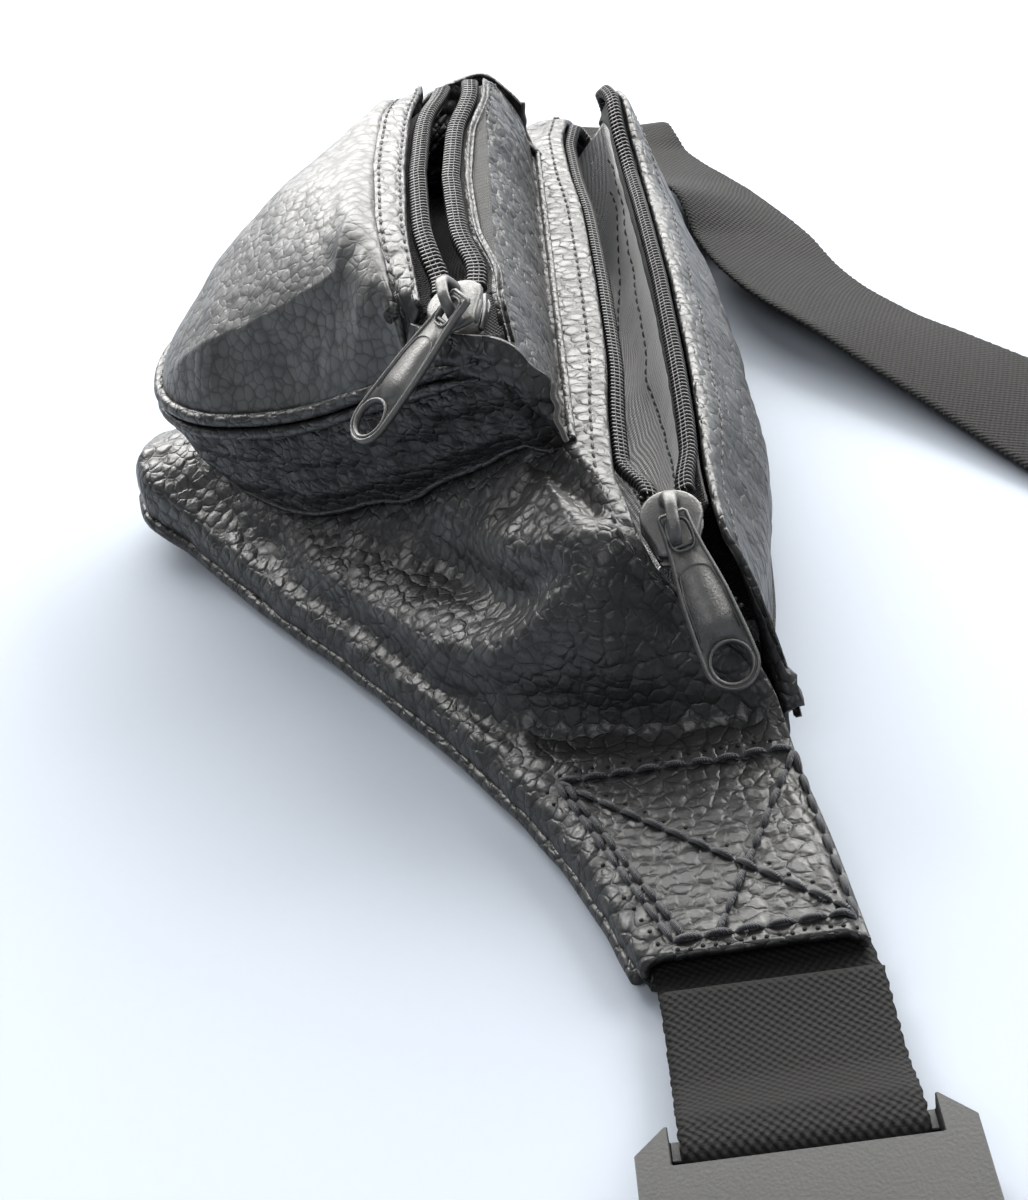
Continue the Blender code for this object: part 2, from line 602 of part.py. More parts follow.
# -------------------------------------------------------------- belt webbing
FAR_PATH = [(-143, 35.8, 3.5), (-156, 38.0, 3.5), (-170, 40.2, 3.5), (-184, 42.2, 3.5), (-194, 43.0, 3.6),
            (-202, 43.6, 4.4), (-207.6, 44.4, 7.0), (-210.0, 45.2, 10.6), (-208.6, 46.4, 14.4),
            (-203.4, 48.2, 17.4), (-196, 50.0, 18.6), (-187, 52.4, 18.4), (-177, 55.2, 17.2), (-165, 58.4, 15.4),
            (-150, 63.4, 14.2), (-139, 69.8, 13.8), (-129.5, 74.8, 12.4), (-118, 78.4, 9.6), (-106, 81.0, 7.4),
            (-88, 84.8, 6.6), (-69.5, 90.4, 6.6), (-48.5, 100.4, 6.2), (-28, 112.0, 5.2), (-8, 123.4, 4.2),
            (16, 136.0, 3.0),
            (42, 149.4, 2.2), (72, 162.0, 2.0), (104, 172.2, 2.0), (138, 179.6, 2.0), (172, 183.8, 2.0),
            (206, 185.0, 2.0), (232, 185.0, 2.0), (246, 185.0, 2.0), (252.6, 185.0, 2.05), (256.6, 185.0, 3.1),
            (258.3, 185.0, 5.4), (258.5, 185.0, 7.4), (257.6, 185.0, 9.6), (254.5, 185.0, 10.3),
            (251.3, 185.0, 9.6), (250.5, 185.0, 7.4), (249.9, 185.0, 5.2), (247.6, 185.0, 4.2), (243, 185.0, 4.1),
            (232, 185.0, 4.1), (206, 185.0, 4.1), (172, 183.8, 4.1), (138, 179.6, 4.1), (104, 172.2, 4.1),
            (72, 162.0, 4.1), (46, 151.2, 4.4)]
OUT_UP = (0.07, -0.28, -0.955)
LEAN_UP = [(0.13, -0.22, -0.97), (0.12, -0.24, -0.96), (0.1, -0.28, -0.95), (0.1, -0.38, -0.92), (0.1, -0.44, -0.89),
           (0.09, -0.37, -0.92)]
FAR_UP = [(0, 0, 1)] * 4 + [(0.1, 0, 1), (0.4, 0, 0.9), (0.85, 0, 0.5), (1, 0, 0.05), (0.85, 0, -0.5),
                            (0.4, 0, -0.9), (0.1, -0.05, -1), (0.08, -0.12, -0.98)] + LEAN_UP + [OUT_UP] * 4
FAR_UP += [(0.1, -0.17, -0.98), (0.06, -0.1, -0.99), (0.02, -0.04, -1)] + [(0, 0, -1)] * 8
FAR_UP += [(0.1, 0, -1), (0.6, 0, -0.8), (0.97, 0, -0.2), (1, 0, 0.1), (0.6, 0, 0.8), (0, 0, 1), (-0.6, 0, 0.8),
           (-1, 0, 0.1), (-0.8, 0, 0.5), (-0.3, 0, 0.95)] + [(0, 0, 1)] * 8


def webbing(name, path, ups):
    """Belt webbing along a path, with the face direction given at each point."""
    return sweep(name, path, flat(WEBBING, WEBBING_THICK), "webbing", up=[unit(u) for u in ups])


webbing("far_webbing", FAR_PATH, FAR_UP)
NEAR_PATH = [(143, 35.8, 3.5), (156, 38.0, 3.5), (170, 40.2, 3.5), (184, 42.2, 3.5), (194, 43, 3.4), (206, 43, 2.7),
             (218, 43, 2.0), (225, 43, 1.95), (229.4, 43, 2.3), (231.4, 43, 3.6), (231.8, 43, 6.2),
             (231.4, 43, 8.9), (229.2, 43, 10.2), (225.0, 43, 10.1), (219, 43, 7.8), (212, 43, 5.6), (203, 43, 5.2),
             (192, 43, 5.6)]
NEAR_UP = [(0, 0, 1)] * 8 + [(-0.35, 0, 0.94), (-0.8, 0, 0.6), (-1, 0, 0), (-0.8, 0, -0.6), (-0.2, 0, -1),
                             (0.3, 0, -0.95), (0.3, 0, -0.95), (0.15, 0, -1), (0, 0, -1), (0, 0, -1)]
webbing("near_webbing", NEAR_PATH, NEAR_UP)


# --------------------------------------------------------------- clip buckle
def box(name, centre, size, kind="buckle_plastic", collection=None):
    """A plain block by centre and size."""
    hx, hy, hz = size[0] / 2, size[1] / 2, size[2] / 2
    outline = [(-hx, -hy), (hx, -hy), (hx, hy), (-hx, hy)]
    return extrude(name, outline, -hz, hz, kind, (centre, (1, 0, 0), (0, 1, 0), (0, 0, 1)), centre, collection)


def rounded(half_x, half_y, corner):
    """Outline of a rectangle with chamfered corners."""
    return [(-half_x, -half_y + corner), (-half_x + corner, -half_y), (half_x - corner, -half_y),
            (half_x, -half_y + corner), (half_x, half_y - corner), (half_x - corner, half_y),
            (-half_x + corner, half_y), (-half_x, half_y - corner)]


SOCKET = (247.0, 43.0, 6.2)
socket_frame = (SOCKET, (1, 0, 0), (0, 1, 0), (0, 0, 1))
socket = extrude("buckle_socket", rounded(21.0, 26.0, 5.0), -5.8, 5.8, "buckle_plastic", socket_frame, SOCKET)
cut(socket, box("socket_mouth", (SOCKET[0] + 8.0, SOCKET[1], SOCKET[2]), (30.0, 42.0, 7.0), collection=cutters))
for label, side in (("left", 1), ("right", -1)):
    window = (SOCKET[0] + 2.0, SOCKET[1] + side * 24.0, SOCKET[2])
    cut(socket, box("socket_window_" + label, window, (13.0, 12.0, 7.0), collection=cutters))
cut(socket, box("socket_bar_gap", (SOCKET[0] - 15.2, SOCKET[1], SOCKET[2]), (3.6, 41.0, 20.0), collection=cutters))
cut(socket, box("socket_bar_under", (SOCKET[0] - 19.6, SOCKET[1], SOCKET[2] - 6.2), (6.0, 41.0, 8.2), collection=cutters))
cut(socket, box("socket_bar_over", (SOCKET[0] - 19.6, SOCKET[1], SOCKET[2] + 6.2), (6.0, 41.0, 8.2), collection=cutters))
soften(socket, 0.8)

CLIP = (258.0, 185.0, 7.0)
clip_frame = (CLIP, (1, 0, 0), (0, 1, 0), (0, 0, 1))
clip = extrude("buckle_clip", rounded(13.0, 25.0, 4.0), -4.6, 4.6, "buckle_plastic", clip_frame, CLIP)
soften(clip, 0.8)
for k, x in enumerate((-8.2, 1.2)):
    cut(clip, box("clip_slot_%d" % (k + 1), (CLIP[0] + x, CLIP[1], CLIP[2]), (4.4, 40.0, 20.0), collection=cutters))
cut(clip, box("clip_under", (CLIP[0] - 5.9, CLIP[1], CLIP[2] - 5.6), (19.4, 40.8, 8.0), collection=cutters))
cut(clip, box("clip_over", (CLIP[0] - 3.5, CLIP[1], CLIP[2] + 5.6), (14.6, 40.8, 8.0), collection=cutters))
tongue = box("clip_centre_guide", (CLIP[0] + 24.0, CLIP[1], CLIP[2]), (21.0, 9.0, 4.0))
soften(tongue, 0.6)
for label, side in (("left", 1), ("right", -1)):
    root = (CLIP[0] + 13.5, CLIP[1] + side * 15.5, CLIP[2])
    prong = [(0.2, -2.4), (0.2, 2.4), (15.0, 2.4), (16.0, 6.0), (20.0, 6.0), (25.0, 1.5), (26.0, -2.4)]
    prong_frame = (root, (1, 0, 0), (0, side, 0), (0, 0, 1))
    arm = extrude("clip_prong_" + label, prong, -2.6, 2.6, "buckle_plastic", prong_frame, root)
    soften(arm, 0.5)

KEEPER = (121.0, 176.2, 2.9)
keeper_frame = (KEEPER, unit((1, 0.218, 0)), unit((-0.218, 1, 0)), (0, 0, 1))
keeper = extrude("strap_keeper", rounded(6.0, 22.4, 1.0), -2.9, 3.6, "buckle_plastic", keeper_frame, KEEPER)
hollow = extrude("keeper_slot", [(-9, -20.4), (9, -20.4), (9, 20.4), (-9, 20.4)], -2.1, 2.5, "buckle_plastic",
                 keeper_frame, KEEPER, cutters)
cut(keeper, hollow)

# ------------------------------------- folded leather at the pocket's corners
CORNER_LOW = [(66.4, -7.6, 66.2), (71.0, -3.2, 69.2), (75.4, 2.6, 71.6), (79.4, 8.8, 73.6)]
CORNER_TOP = [(66.6, -5.6, 79.6), (72.8, -6.2, 77.6), (80.0, -3.2, 76.0), (83.0, 5.6, 75.0)]
for label, sign in (("near", 1), ("far", -1)):
    rows = []
    for low, top in zip(CORNER_LOW, CORNER_TOP):
        a = np.array(low) * (sign, 1, 1)
        b = np.array(top) * (sign, 1, 1)
        bulge = unit((sign * 1.0, -0.8, 0)) * 1.0
        rows.append([tuple(a + (b - a) * t + bulge * math.sin(math.pi * t)) for t in (0, 0.35, 0.7, 1)])
    sheet("pocket_corner_" + label, rows, -1.2 * sign, "leather")
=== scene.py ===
"""Waist pack: the visual model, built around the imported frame.

Lengths in the shape code are millimetres in the frame's own axes and are scaled
to metres when each mesh is made.
"""
import bmesh
import bpy
import math
import numpy as np
from mathutils import Matrix, Vector, noise


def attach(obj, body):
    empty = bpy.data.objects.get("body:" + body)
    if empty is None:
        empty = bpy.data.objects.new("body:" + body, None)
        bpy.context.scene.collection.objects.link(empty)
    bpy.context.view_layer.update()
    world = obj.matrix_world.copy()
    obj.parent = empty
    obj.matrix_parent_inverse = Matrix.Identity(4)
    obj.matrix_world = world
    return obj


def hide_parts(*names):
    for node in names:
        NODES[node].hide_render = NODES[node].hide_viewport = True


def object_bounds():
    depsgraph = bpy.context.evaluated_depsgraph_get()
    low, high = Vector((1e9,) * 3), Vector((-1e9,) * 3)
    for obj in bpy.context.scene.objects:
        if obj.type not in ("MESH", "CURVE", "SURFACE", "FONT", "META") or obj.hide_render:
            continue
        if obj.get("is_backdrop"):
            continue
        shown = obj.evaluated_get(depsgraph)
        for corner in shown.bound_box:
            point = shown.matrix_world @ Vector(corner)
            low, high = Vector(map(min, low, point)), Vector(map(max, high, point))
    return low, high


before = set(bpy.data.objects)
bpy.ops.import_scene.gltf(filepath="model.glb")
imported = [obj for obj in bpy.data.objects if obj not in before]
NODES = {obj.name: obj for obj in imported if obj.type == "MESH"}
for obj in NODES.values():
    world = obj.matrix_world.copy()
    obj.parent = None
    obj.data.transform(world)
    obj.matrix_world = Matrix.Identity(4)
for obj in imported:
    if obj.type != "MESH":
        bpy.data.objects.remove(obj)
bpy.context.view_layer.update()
MM = 0.001

# ---------------------------------------------------------------------- camera
YAW, PITCH, ROLL = (math.radians(a) for a in (93.538, 32.987, -10.097))
CAMERA_AT = (0.437517, 0.026646, 0.248564)
LENS = 60.0
SENSOR_WIDTH = 36.0
back = Vector((math.sin(YAW) * math.cos(PITCH), -math.cos(YAW) * math.cos(PITCH), math.sin(PITCH)))
level = Vector((0, 0, 1)).cross(back).normalized()
rise = back.cross(level)
right = level * math.cos(ROLL) + rise * math.sin(ROLL)
upward = rise * math.cos(ROLL) - level * math.sin(ROLL)
camera = bpy.data.objects.new("camera", bpy.data.cameras.new("camera"))
camera.data.lens = LENS
camera.data.sensor_width = SENSOR_WIDTH
camera.data.clip_start = 0.01
camera.matrix_world = Matrix([(right[i], upward[i], back[i], CAMERA_AT[i]) for i in range(3)] + [(0, 0, 0, 1)])
bpy.context.scene.collection.objects.link(camera)
bpy.context.scene.camera = camera

# ------------------------------------------------ shape tables, (station, value)
TOP_EDGE = [(0, 63.5), (40, 63), (70, 61), (90, 58), (105, 55.5), (120, 54.5),
            (135, 56), (150, 58), (168, 60.5), (186, 61.5)]
BOTTOM_EDGE = [(0, -86), (9, -84), (20, -73.5), (39, -59.5), (59, -46), (76, -33.5),
               (94, -21.8), (109, -11.8), (126, -2), (143, 7), (162, 15), (186, 22.5)]
HALF_SPAN = 186.0
BACK_THICK = 2.4
LEATHER_THICK = 1.6
SHELL_THICK = 1.5
BELT_HALF = 19.0
FRONT_LIP_Y = [(0, 31.6), (40, 31.2), (70, 29.5), (92, 29), (104, 30.3), (112, 31.4),
               (118, 34), (121, 41), (124, 49.6), (130, 53.8), (140, 55.6), (160, 58.4), (186, 60.6)]
FRONT_LIP_Z = [(0, 50.5), (70, 50.5), (96, 50.3), (108, 49.6), (114, 47.5), (118, 43), (121, 34),
               (124, 25.5), (129, 17.5), (136, 11), (146, 7.6), (165, 6.4), (186, 5.8)]
BACK_LIP_Y = [(0, 49.5), (40, 49), (70, 48.2), (92, 47.2), (104, 47.2), (112, 47.8),
              (117, 51), (120, 53.4), (124, 55.6), (130, 56.8), (139, 57)]
BACK_LIP_Z = [(0, 48), (70, 48.2), (96, 48.4), (108, 47.8), (113, 45.6), (117, 39.5), (120, 31.5),
              (124, 22), (130, 13), (139, 6)]
MAIN_SLIDER = (111.4, 38.8, 47.6)
POCKET_SLIDER = (70, 3.3, 79.2)
SLIDER_HEIGHT = 5.4
COIL_STOPS = 7.2
COIL_MEETS = 8.6
COIL_HALF_GAP = 3.6
# Where a pair of coils starts to draw in to its slider, and how far above the slider's middle it ends.
MAIN_JOIN = (84, 2.6)
POCKET_JOIN = (48, 0.8)


def smooth(table, x):
    """Value at x on a smooth curve through a table of stations."""
    px = [float(p[0]) for p in table]
    pv = [float(p[1]) for p in table]
    x = min(max(float(x), px[0]), px[-1])
    last = len(px) - 1
    step = [(pv[i + 1] - pv[i]) / (px[i + 1] - px[i]) for i in range(last)]
    slope = [step[0]]
    for i in range(1, last):
        if step[i - 1] * step[i] <= 0:
            slope.append(0)
        else:
            slope.append(2 * step[i - 1] * step[i] / (step[i - 1] + step[i]))
    slope.append(step[-1])
    i = 0
    while i < last - 1 and x > px[i + 1]:
        i += 1
    width = px[i + 1] - px[i]
    t = (x - px[i]) / width
    a = pv[i] * (2 * t ** 3 - 3 * t ** 2 + 1) + width * slope[i] * (t ** 3 - 2 * t ** 2 + t)
    return a + pv[i + 1] * (3 * t ** 2 - 2 * t ** 3) + width * slope[i + 1] * (t ** 3 - t ** 2)


def top_edge(x):
    return smooth(TOP_EDGE, abs(x))


def bottom_edge(x):
    return smooth(BOTTOM_EDGE, abs(x))


def station(x, ys, zs):
    """Point at x on a curve that is the same on both sides, from its tables of Y and Z."""
    return np.array([x, smooth(ys, abs(x)), smooth(zs, abs(x))])


def front_lip(x):
    return station(x, FRONT_LIP_Y, FRONT_LIP_Z)


def back_lip(x):
    """Back edge of the main opening; its far end, toward -X, stands up in a hood."""
    t = clamp((-62.0 - x) / 44)
    bend = clamp((-x - 98) / 22)
    _, y, z = station(x, BACK_LIP_Y, BACK_LIP_Z)
    return np.array([x, y - 7.0 * bend ** 2, z + 9.0 * t * t * (3 - 2 * t)])


def front_height(x, y):
    """Height of the body's front leather above the floor at a place in plan."""
    lip = front_lip(x)
    low = bottom_edge(x) + 5.0
    strip = lip[1] - 11.0
    roll = 10.4 - 3.0 * max(0, (abs(x) - 120) / 66)
    crest = max(lip[2] + 2.6 * max(0, 1 - max(0, abs(x) - 70) / 40), roll)
    t = clamp((y - low) / max(strip - low, 4))
    return roll + (crest - roll) * (0.75 * t + 0.25 * math.sin(t * math.pi / 2))


def front_section(x):
    """Front leather at one station, from the bottom seam to the folded edge beside the zip."""
    low = bottom_edge(x)
    lip = front_lip(x)
    roll = front_height(x, low + 5)
    start = BACK_THICK + 2.1 + 0.7 * min(1, max(0, (abs(x) - 125) / 12))
    points = [(x, low + 1.4, start - 0.9), (x, low + 0.5, start), (x, low - 0.1, 0.5 * roll + 0.6 * (start - 3.9)),
              (x, low + 0.1, 0.72 * roll), (x, low + 1.8, 0.92 * roll)]
    room = lip[1] - low - 5.0
    for t in (0, 0.12, 0.26, 0.42, 0.6, 0.78, 0.93):
        y = low + 5.0 + (room - 1.5) * t
        points.append((x, y, front_height(x, y) if t < 0.93 else max(lip[2] + 0.5, roll)))
    points = np.array(points)
    run = np.gradient(points[:, 1:], axis=0)
    run /= np.linalg.norm(run, axis=1, keepdims=True)
    points[:, 1] -= LEATHER_THICK * run[:, 1]
    points[:, 2] += LEATHER_THICK * run[:, 0]
    fold = [(-0.6, 1.55), (0.2, 1.2), (0.4, 0.5), (0.2, -0.4), (-0.3, -1.2)]
    return list(points) + [(x, lip[1] + a, lip[2] + b) for a, b in fold]


def gusset_point(x, t):
    """Point on the back half of the zip gusset, t running from the zip lip down to the back panel."""
    lip = back_lip(x)
    drop = lip[2] - BACK_THICK - 0.2
    swell = 1.0 + 3.0 * max(0, 1 - (abs(x) / 125) ** 2)
    reach = (top_edge(x) - 0.6 - lip[1]) * min(1, 0.25 + 1.15 * t)
    return np.array((x, lip[1] + reach + swell * math.sin(math.pi * t) * 0.8, lip[2] - drop * t))


# ------------------------------------------------------------- geometry helpers
def unit(v):
    v = np.array(v, float)
    return v / np.linalg.norm(v, axis=-1, keepdims=True)


def clamp(value):
    """Value held between 0 and 1."""
    return min(max(value, 0), 1)


def lengths(path):
    """Distance along a path at each of its points."""
    return np.concatenate([[0], np.cumsum(np.linalg.norm(np.diff(path, axis=0), axis=1))])


def at_lengths(s, run, values):
    """Rows of values read off at the distances s, where run holds the distances of the rows."""
    return np.stack([np.interp(s, run, values[:, i]) for i in range(3)], -1)


def turns(count):
    """Even angles once round a circle."""
    return np.linspace(0, 2 * math.pi, count, endpoint=False)


def end_fade(count, first, last):
    """Weights for a row of count points that fade out over a few points at each end."""
    k = np.arange(count)
    return np.clip(k / first, 0, 1) * np.clip((count - 1 - k) / last, 0, 1)


def spread(low, high, count):
    return [low + (high - low) * i / (count - 1) for i in range(count)]


def through(points, count, places=3):
    """An even row of points on a smooth curve through some points; extra columns follow along."""
    p = np.array(points, float)
    run = lengths(p[:, :places])
    gap = np.diff(run)
    step = np.diff(p, axis=0) / gap[:, None]
    slope = np.zeros_like(p)
    slope[0], slope[-1] = step[0], step[-1]
    same = step[:-1] * step[1:] > 0
    total = np.where(same, step[:-1] + step[1:], 1)
    slope[1:-1] = np.where(same, 2 * step[:-1] * step[1:] / total, 0)
    s = np.linspace(0, run[-1], count)
    i = np.clip(np.searchsorted(run, s, side="right") - 1, 0, len(run) - 2)
    w = gap[i][:, None]
    t = ((s - run[i]) / gap[i])[:, None]
    a = p[i] * (2 * t ** 3 - 3 * t ** 2 + 1) + w * slope[i] * (t ** 3 - 2 * t ** 2 + t)
    return a + p[i + 1] * (3 * t ** 2 - 2 * t ** 3) + w * slope[i + 1] * (t ** 3 - t ** 2)


def by_index(points, count):
    """Points on a smooth curve through some points, evenly spaced in the points' own order."""
    p = np.array(points, float)
    s = np.linspace(0, len(p) - 1, count)
    i = np.minimum(s.astype(int), len(p) - 2)
    t = (s - i)[:, None]
    a, b, c, d = p[np.maximum(i - 1, 0)], p[i], p[i + 1], p[np.minimum(i + 2, len(p) - 1)]
    return 0.5 * (2 * b + (c - a) * t + (2 * a - 5 * b + 4 * c - d) * t ** 2 + (3 * b - a - 3 * c + d) * t ** 3)


def grid_normals(grid):
    along = np.gradient(grid, axis=0)
    across = np.gradient(grid, axis=1)
    return unit(np.cross(across, along) + 1e-12)


def rough(points, size, seed=0, stretch=(1, 1, 1)):
    """Smooth noise from -1 to 1 at each point, with lumps about size across."""
    flat = points.reshape(-1, 3) * np.array(stretch, float) / size
    values = [noise.noise(Vector((p[0] + seed, p[1] - seed, p[2] + 0.5 * seed))) for p in flat]
    return np.array(values).reshape(points.shape[:-1])


def line_distance(points, line):
    """Distance in plan from points to a broken line, and how far along it each one is."""
    flat = points[..., :2]
    best = np.full(flat.shape[:-1], 1e9)
    place = np.zeros(flat.shape[:-1])
    runs = np.array(line, float)
    for i in range(len(runs) - 1):
        a, b = runs[i], runs[i + 1]
        t = np.clip(((flat - a) @ (b - a)) / ((b - a) @ (b - a)), 0, 1)
        far = np.linalg.norm(flat - a - t[..., None] * (b - a), axis=-1)
        near = far < best
        best = np.where(near, far, best)
        place = np.where(near, (i + t) / (len(runs) - 1), place)
    return best, place


def folds(points, lines):
    """Sum of ridges and creases: each is a line in plan, a height, a width and, for a sharp one, True."""
    total = np.zeros(points.shape[:-1])
    for line, height, width, *crisp in lines:
        far, place = line_distance(points, through([p + (0,) for p in line], 24)[:, :2])
        shape = np.exp(-far / width) if crisp else np.exp(-(far / width) ** 2)
        total += height * shape * np.clip(6 * place, 0, 1) ** 0.7 * np.clip(6 * (1 - place), 0, 1) ** 0.7
    return total


def piece(name, verts, faces, material, body="bag", replaces=None, slot=None, values=None):
    """Make a mesh piece from millimetre points, face it outward and hang it on its body."""
    mesh = bpy.data.meshes.new(name)
    sides = [tuple(int(i) for i in f) for f in faces]
    mesh.from_pydata([tuple(v) for v in np.array(verts, float) * MM], [], sides)
    bm = bmesh.new()
    bm.from_mesh(mesh)
    bmesh.ops.recalc_face_normals(bm, faces=bm.faces)
    bm.to_mesh(mesh)
    bm.free()
    mesh.polygons.foreach_set("use_smooth", [True] * len(mesh.polygons))
    for key, data in (values or {}).items():
        attribute = mesh.attributes.new(key, "FLOAT", "POINT")
        attribute.data.foreach_set("value", np.array(data, np.float32).ravel())
    mesh.materials.append(material)
    obj = bpy.data.objects.new(name, mesh)
    bpy.context.scene.collection.objects.link(obj)
    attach(obj, body)
    if replaces:
        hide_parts(replaces)
    return obj


# Width and length of each piece before sewing, in metres. Where a third number is missing, the flat area
# is taken from the piece's own CAD solid; where it is there, the scene's piece is larger than the solid.
CUTS = {
    "front_leather": (0.140, 0.445), "back_leather": (0.060, 0.325), "lining_trough": (0.260, 0.315),
    "tape_main_front": (0.010, 0.246), "tape_main_back": (0.010, 0.246),
    "tape_pocket_front": (0.010, 0.131), "tape_pocket_back": (0.010, 0.131, 0.0009),
    "pocket_wall_leather": (0.030, 0.273), "pocket_front_leather": (0.081, 0.200),
    "pocket_strip_leather": (0.015, 0.142), "pocket_back_leather": (0.036, 0.164),
    "corner_fold_near": (0.016, 0.041, 0.0004), "corner_fold_far": (0.016, 0.041, 0.0004),
    "pocket_lining_trough": (0.090, 0.170),
}


def solid_cut(node):
    """Flat area of the thin CAD solid of a cut piece: half of its surface, in square metres."""
    mesh = bpy.data.objects[node].data
    mesh.calc_loop_triangles()
    return sum(t.area for t in mesh.loop_triangles) / 2


def shell(name, grid, thickness, material, held="stretched", rests_on=(), **more):
    """A thick sheet through a grid of outer points, with its rim closed; a piece listed in CUTS also has its cut
    area looked up.
    """
    grid = np.array(grid, float)
    inner = grid - grid_normals(grid) * thickness
    rows, cols = grid.shape[:2]
    half = rows * cols
    index = np.arange(half).reshape(rows, cols)
    a, b, c, d = index[:-1, :-1], index[:-1, 1:], index[1:, 1:], index[1:, :-1]
    quads = np.stack([a, b, c, d], -1).reshape(-1, 4)
    faces = list(quads) + list(quads[:, ::-1] + half)
    rim = list(index[0]) + list(index[1:, -1]) + list(index[-1, -2::-1]) + list(index[-2:0:-1, 0])
    faces += [(p, half + p, half + q, q) for p, q in zip(rim, rim[1:] + rim[:1])]
    along = np.repeat(lengths(grid[:, cols // 2]), cols)
    across = np.tile(lengths(grid[rows // 2]), rows)
    values = {"along": np.tile(along, 2), "across": np.tile(across, 2)}
    points = np.concatenate([grid.reshape(-1, 3), inner.reshape(-1, 3)])
    made = piece(name, points, faces, material, values=values, **more)
    if name in CUTS:
        area = CUTS[name][2] if len(CUTS[name]) > 2 else solid_cut(more["replaces"])
    return made


def frames(path, ups, closed=False):
    """Side and top directions along a path."""
    path = np.array(path, float)
    if closed:
        tangent = np.roll(path, -1, axis=0) - np.roll(path, 1, axis=0)
    else:
        tangent = np.gradient(path, axis=0)
    tangent = unit(tangent)
    ups = np.array(ups, float) if np.ndim(ups) == 2 else np.repeat([ups], len(path), 0)
    side = unit(np.cross(tangent, ups))
    return side, np.cross(side, tangent)


def loop_faces(count, size, closed=False):
    """Faces between count loops of size points each; closed joins the last loop to the first."""
    faces = []
    for i in range(count if closed else count - 1):
        k = (i + 1) % count
        for j in range(size):
            n = (j + 1) % size
            faces.append((i * size + j, i * size + n, k * size + n, k * size + j))
    return faces


def tube_parts(path, profile, ups, closed=False):
    """Points and faces of a profile swept along a path; profile may be one or one for each point."""
    path = np.array(path, float)
    side, top = frames(path, ups, closed)
    profile = np.array(profile, float)
    if profile.ndim == 2:
        profile = np.repeat(profile[None], len(path), 0)
    verts = path[:, None] + side[:, None] * profile[..., :1] + top[:, None] * profile[..., 1:2]
    count, size = verts.shape[:2]
    faces = loop_faces(count, size, closed)
    if not closed:
        faces += [tuple(range(size)), tuple(range(count * size - 1, (count - 1) * size - 1, -1))]
    return verts.reshape(-1, 3), faces


def tube(name, path, profile, ups, material, closed=False, **more):
    verts, faces = tube_parts(path, profile, ups, closed)
    return piece(name, verts, faces, material, **more)


def several(name, parts, material, **more):
    """One piece out of many separate closed bits."""
    verts, faces, first = [], [], 0
    for points, sides in parts:
        verts.append(np.array(points, float))
        faces += [tuple(i + first for i in f) for f in sides]
        first += len(points)
    return piece(name, np.concatenate(verts), faces, material, **more)


def ring(radius, sides, squash=1):
    return [(radius * math.cos(2 * math.pi * k / sides), squash * radius * math.sin(2 * math.pi * k / sides))
            for k in range(sides)]


def stitch_parts(path, normals, length, gap, radius, sink=0.3):
    """Short fat threads laid end to end on a path, each diving into the leather at its ends."""
    path = np.array(path, float)
    run = lengths(path)
    normals = np.array(normals, float) if np.ndim(normals) == 2 else np.repeat([normals], len(path), 0)
    parts = []
    count = max(1, int((run[-1] + gap) / (length + gap)))
    pitch = (run[-1] + gap) / count
    for k in range(count):
        s = k * pitch + np.linspace(0, pitch - gap, 7)
        mid = at_lengths(s, run, path)
        up = unit(at_lengths(s, run, normals))
        bow = np.array([-0.9, 0.1, 0.5, 0.6, 0.5, 0.1, -0.9])[:, None] * radius
        fat = np.array([0.35, 0.85, 1, 1.05, 1, 0.85, 0.35])[:, None, None]
        parts.append(tube_parts(mid + up * (bow - sink * radius), np.array(ring(radius, 6, 0.85))[None] * fat, up))
    return parts


# -------------------------------------------------------------------- materials
def link(tree, a, b):
    tree.links.new(a, b)


def feed(tree, made, inputs):
    """Fill a node's inputs with values or with other sockets."""
    for key, value in inputs.items():
        if isinstance(value, bpy.types.NodeSocket):
            link(tree, value, made.inputs[key])
        else:
            made.inputs[key].default_value = value


def node(tree, kind, inputs=None, **props):
    """A shader node with its properties and its inputs."""
    made = tree.nodes.new(kind)
    for key, value in props.items():
        setattr(made, key, value)
    feed(tree, made, inputs or {})
    return made


def maths(tree, operation, a, b=0, c=0):
    return node(tree, "ShaderNodeMath", {0: a, 1: b, 2: c}, operation=operation).outputs[0]


def remap(tree, value, low, high, to_low, to_high):
    made = node(tree, "ShaderNodeMapRange", {0: value, 1: low, 2: high, 3: to_low, 4: to_high},
                interpolation_type="SMOOTHSTEP")
    return made.outputs[0]


def mix(tree, share, first, second):
    """A colour between two others."""
    return node(tree, "ShaderNodeMix", {0: share, 6: first, 7: second}, data_type="RGBA").outputs[2]


def start_material(name, **sockets):
    """A new node material, its shader, and its coordinates in millimetres."""
    material = bpy.data.materials.new(name)
    material.use_nodes = True
    tree = material.node_tree
    shader = tree.nodes["Principled BSDF"]
    for key, value in sockets.items():
        shader.inputs[key.replace("_", " ")].default_value = value
    coords = node(tree, "ShaderNodeTexCoord").outputs["Object"]
    return material, tree, shader, vector_maths(tree, "SCALE", coords, 1000)


def clouds(tree, place, scale, detail):
    """Soft noise with a strength from 0 to 1."""
    return node(tree, "ShaderNodeTexNoise", {"Vector": place, "Scale": scale, "Detail": detail}).outputs["Fac"]


def vector_maths(tree, operation, a, b):
    """A sum on a vector; b is a vector, or a number for SCALE."""
    inputs = {0: a, (3 if operation == "SCALE" else 1): b}
    return node(tree, "ShaderNodeVectorMath", inputs, operation=operation).outputs[0]


def cells(tree, place, scale, feature, **more):
    """Distance within a pattern of cells, scale of them to the millimetre."""
    inputs = {"Vector": place, "Scale": scale, **more}
    return node(tree, "ShaderNodeTexVoronoi", inputs, feature=feature).outputs["Distance"]


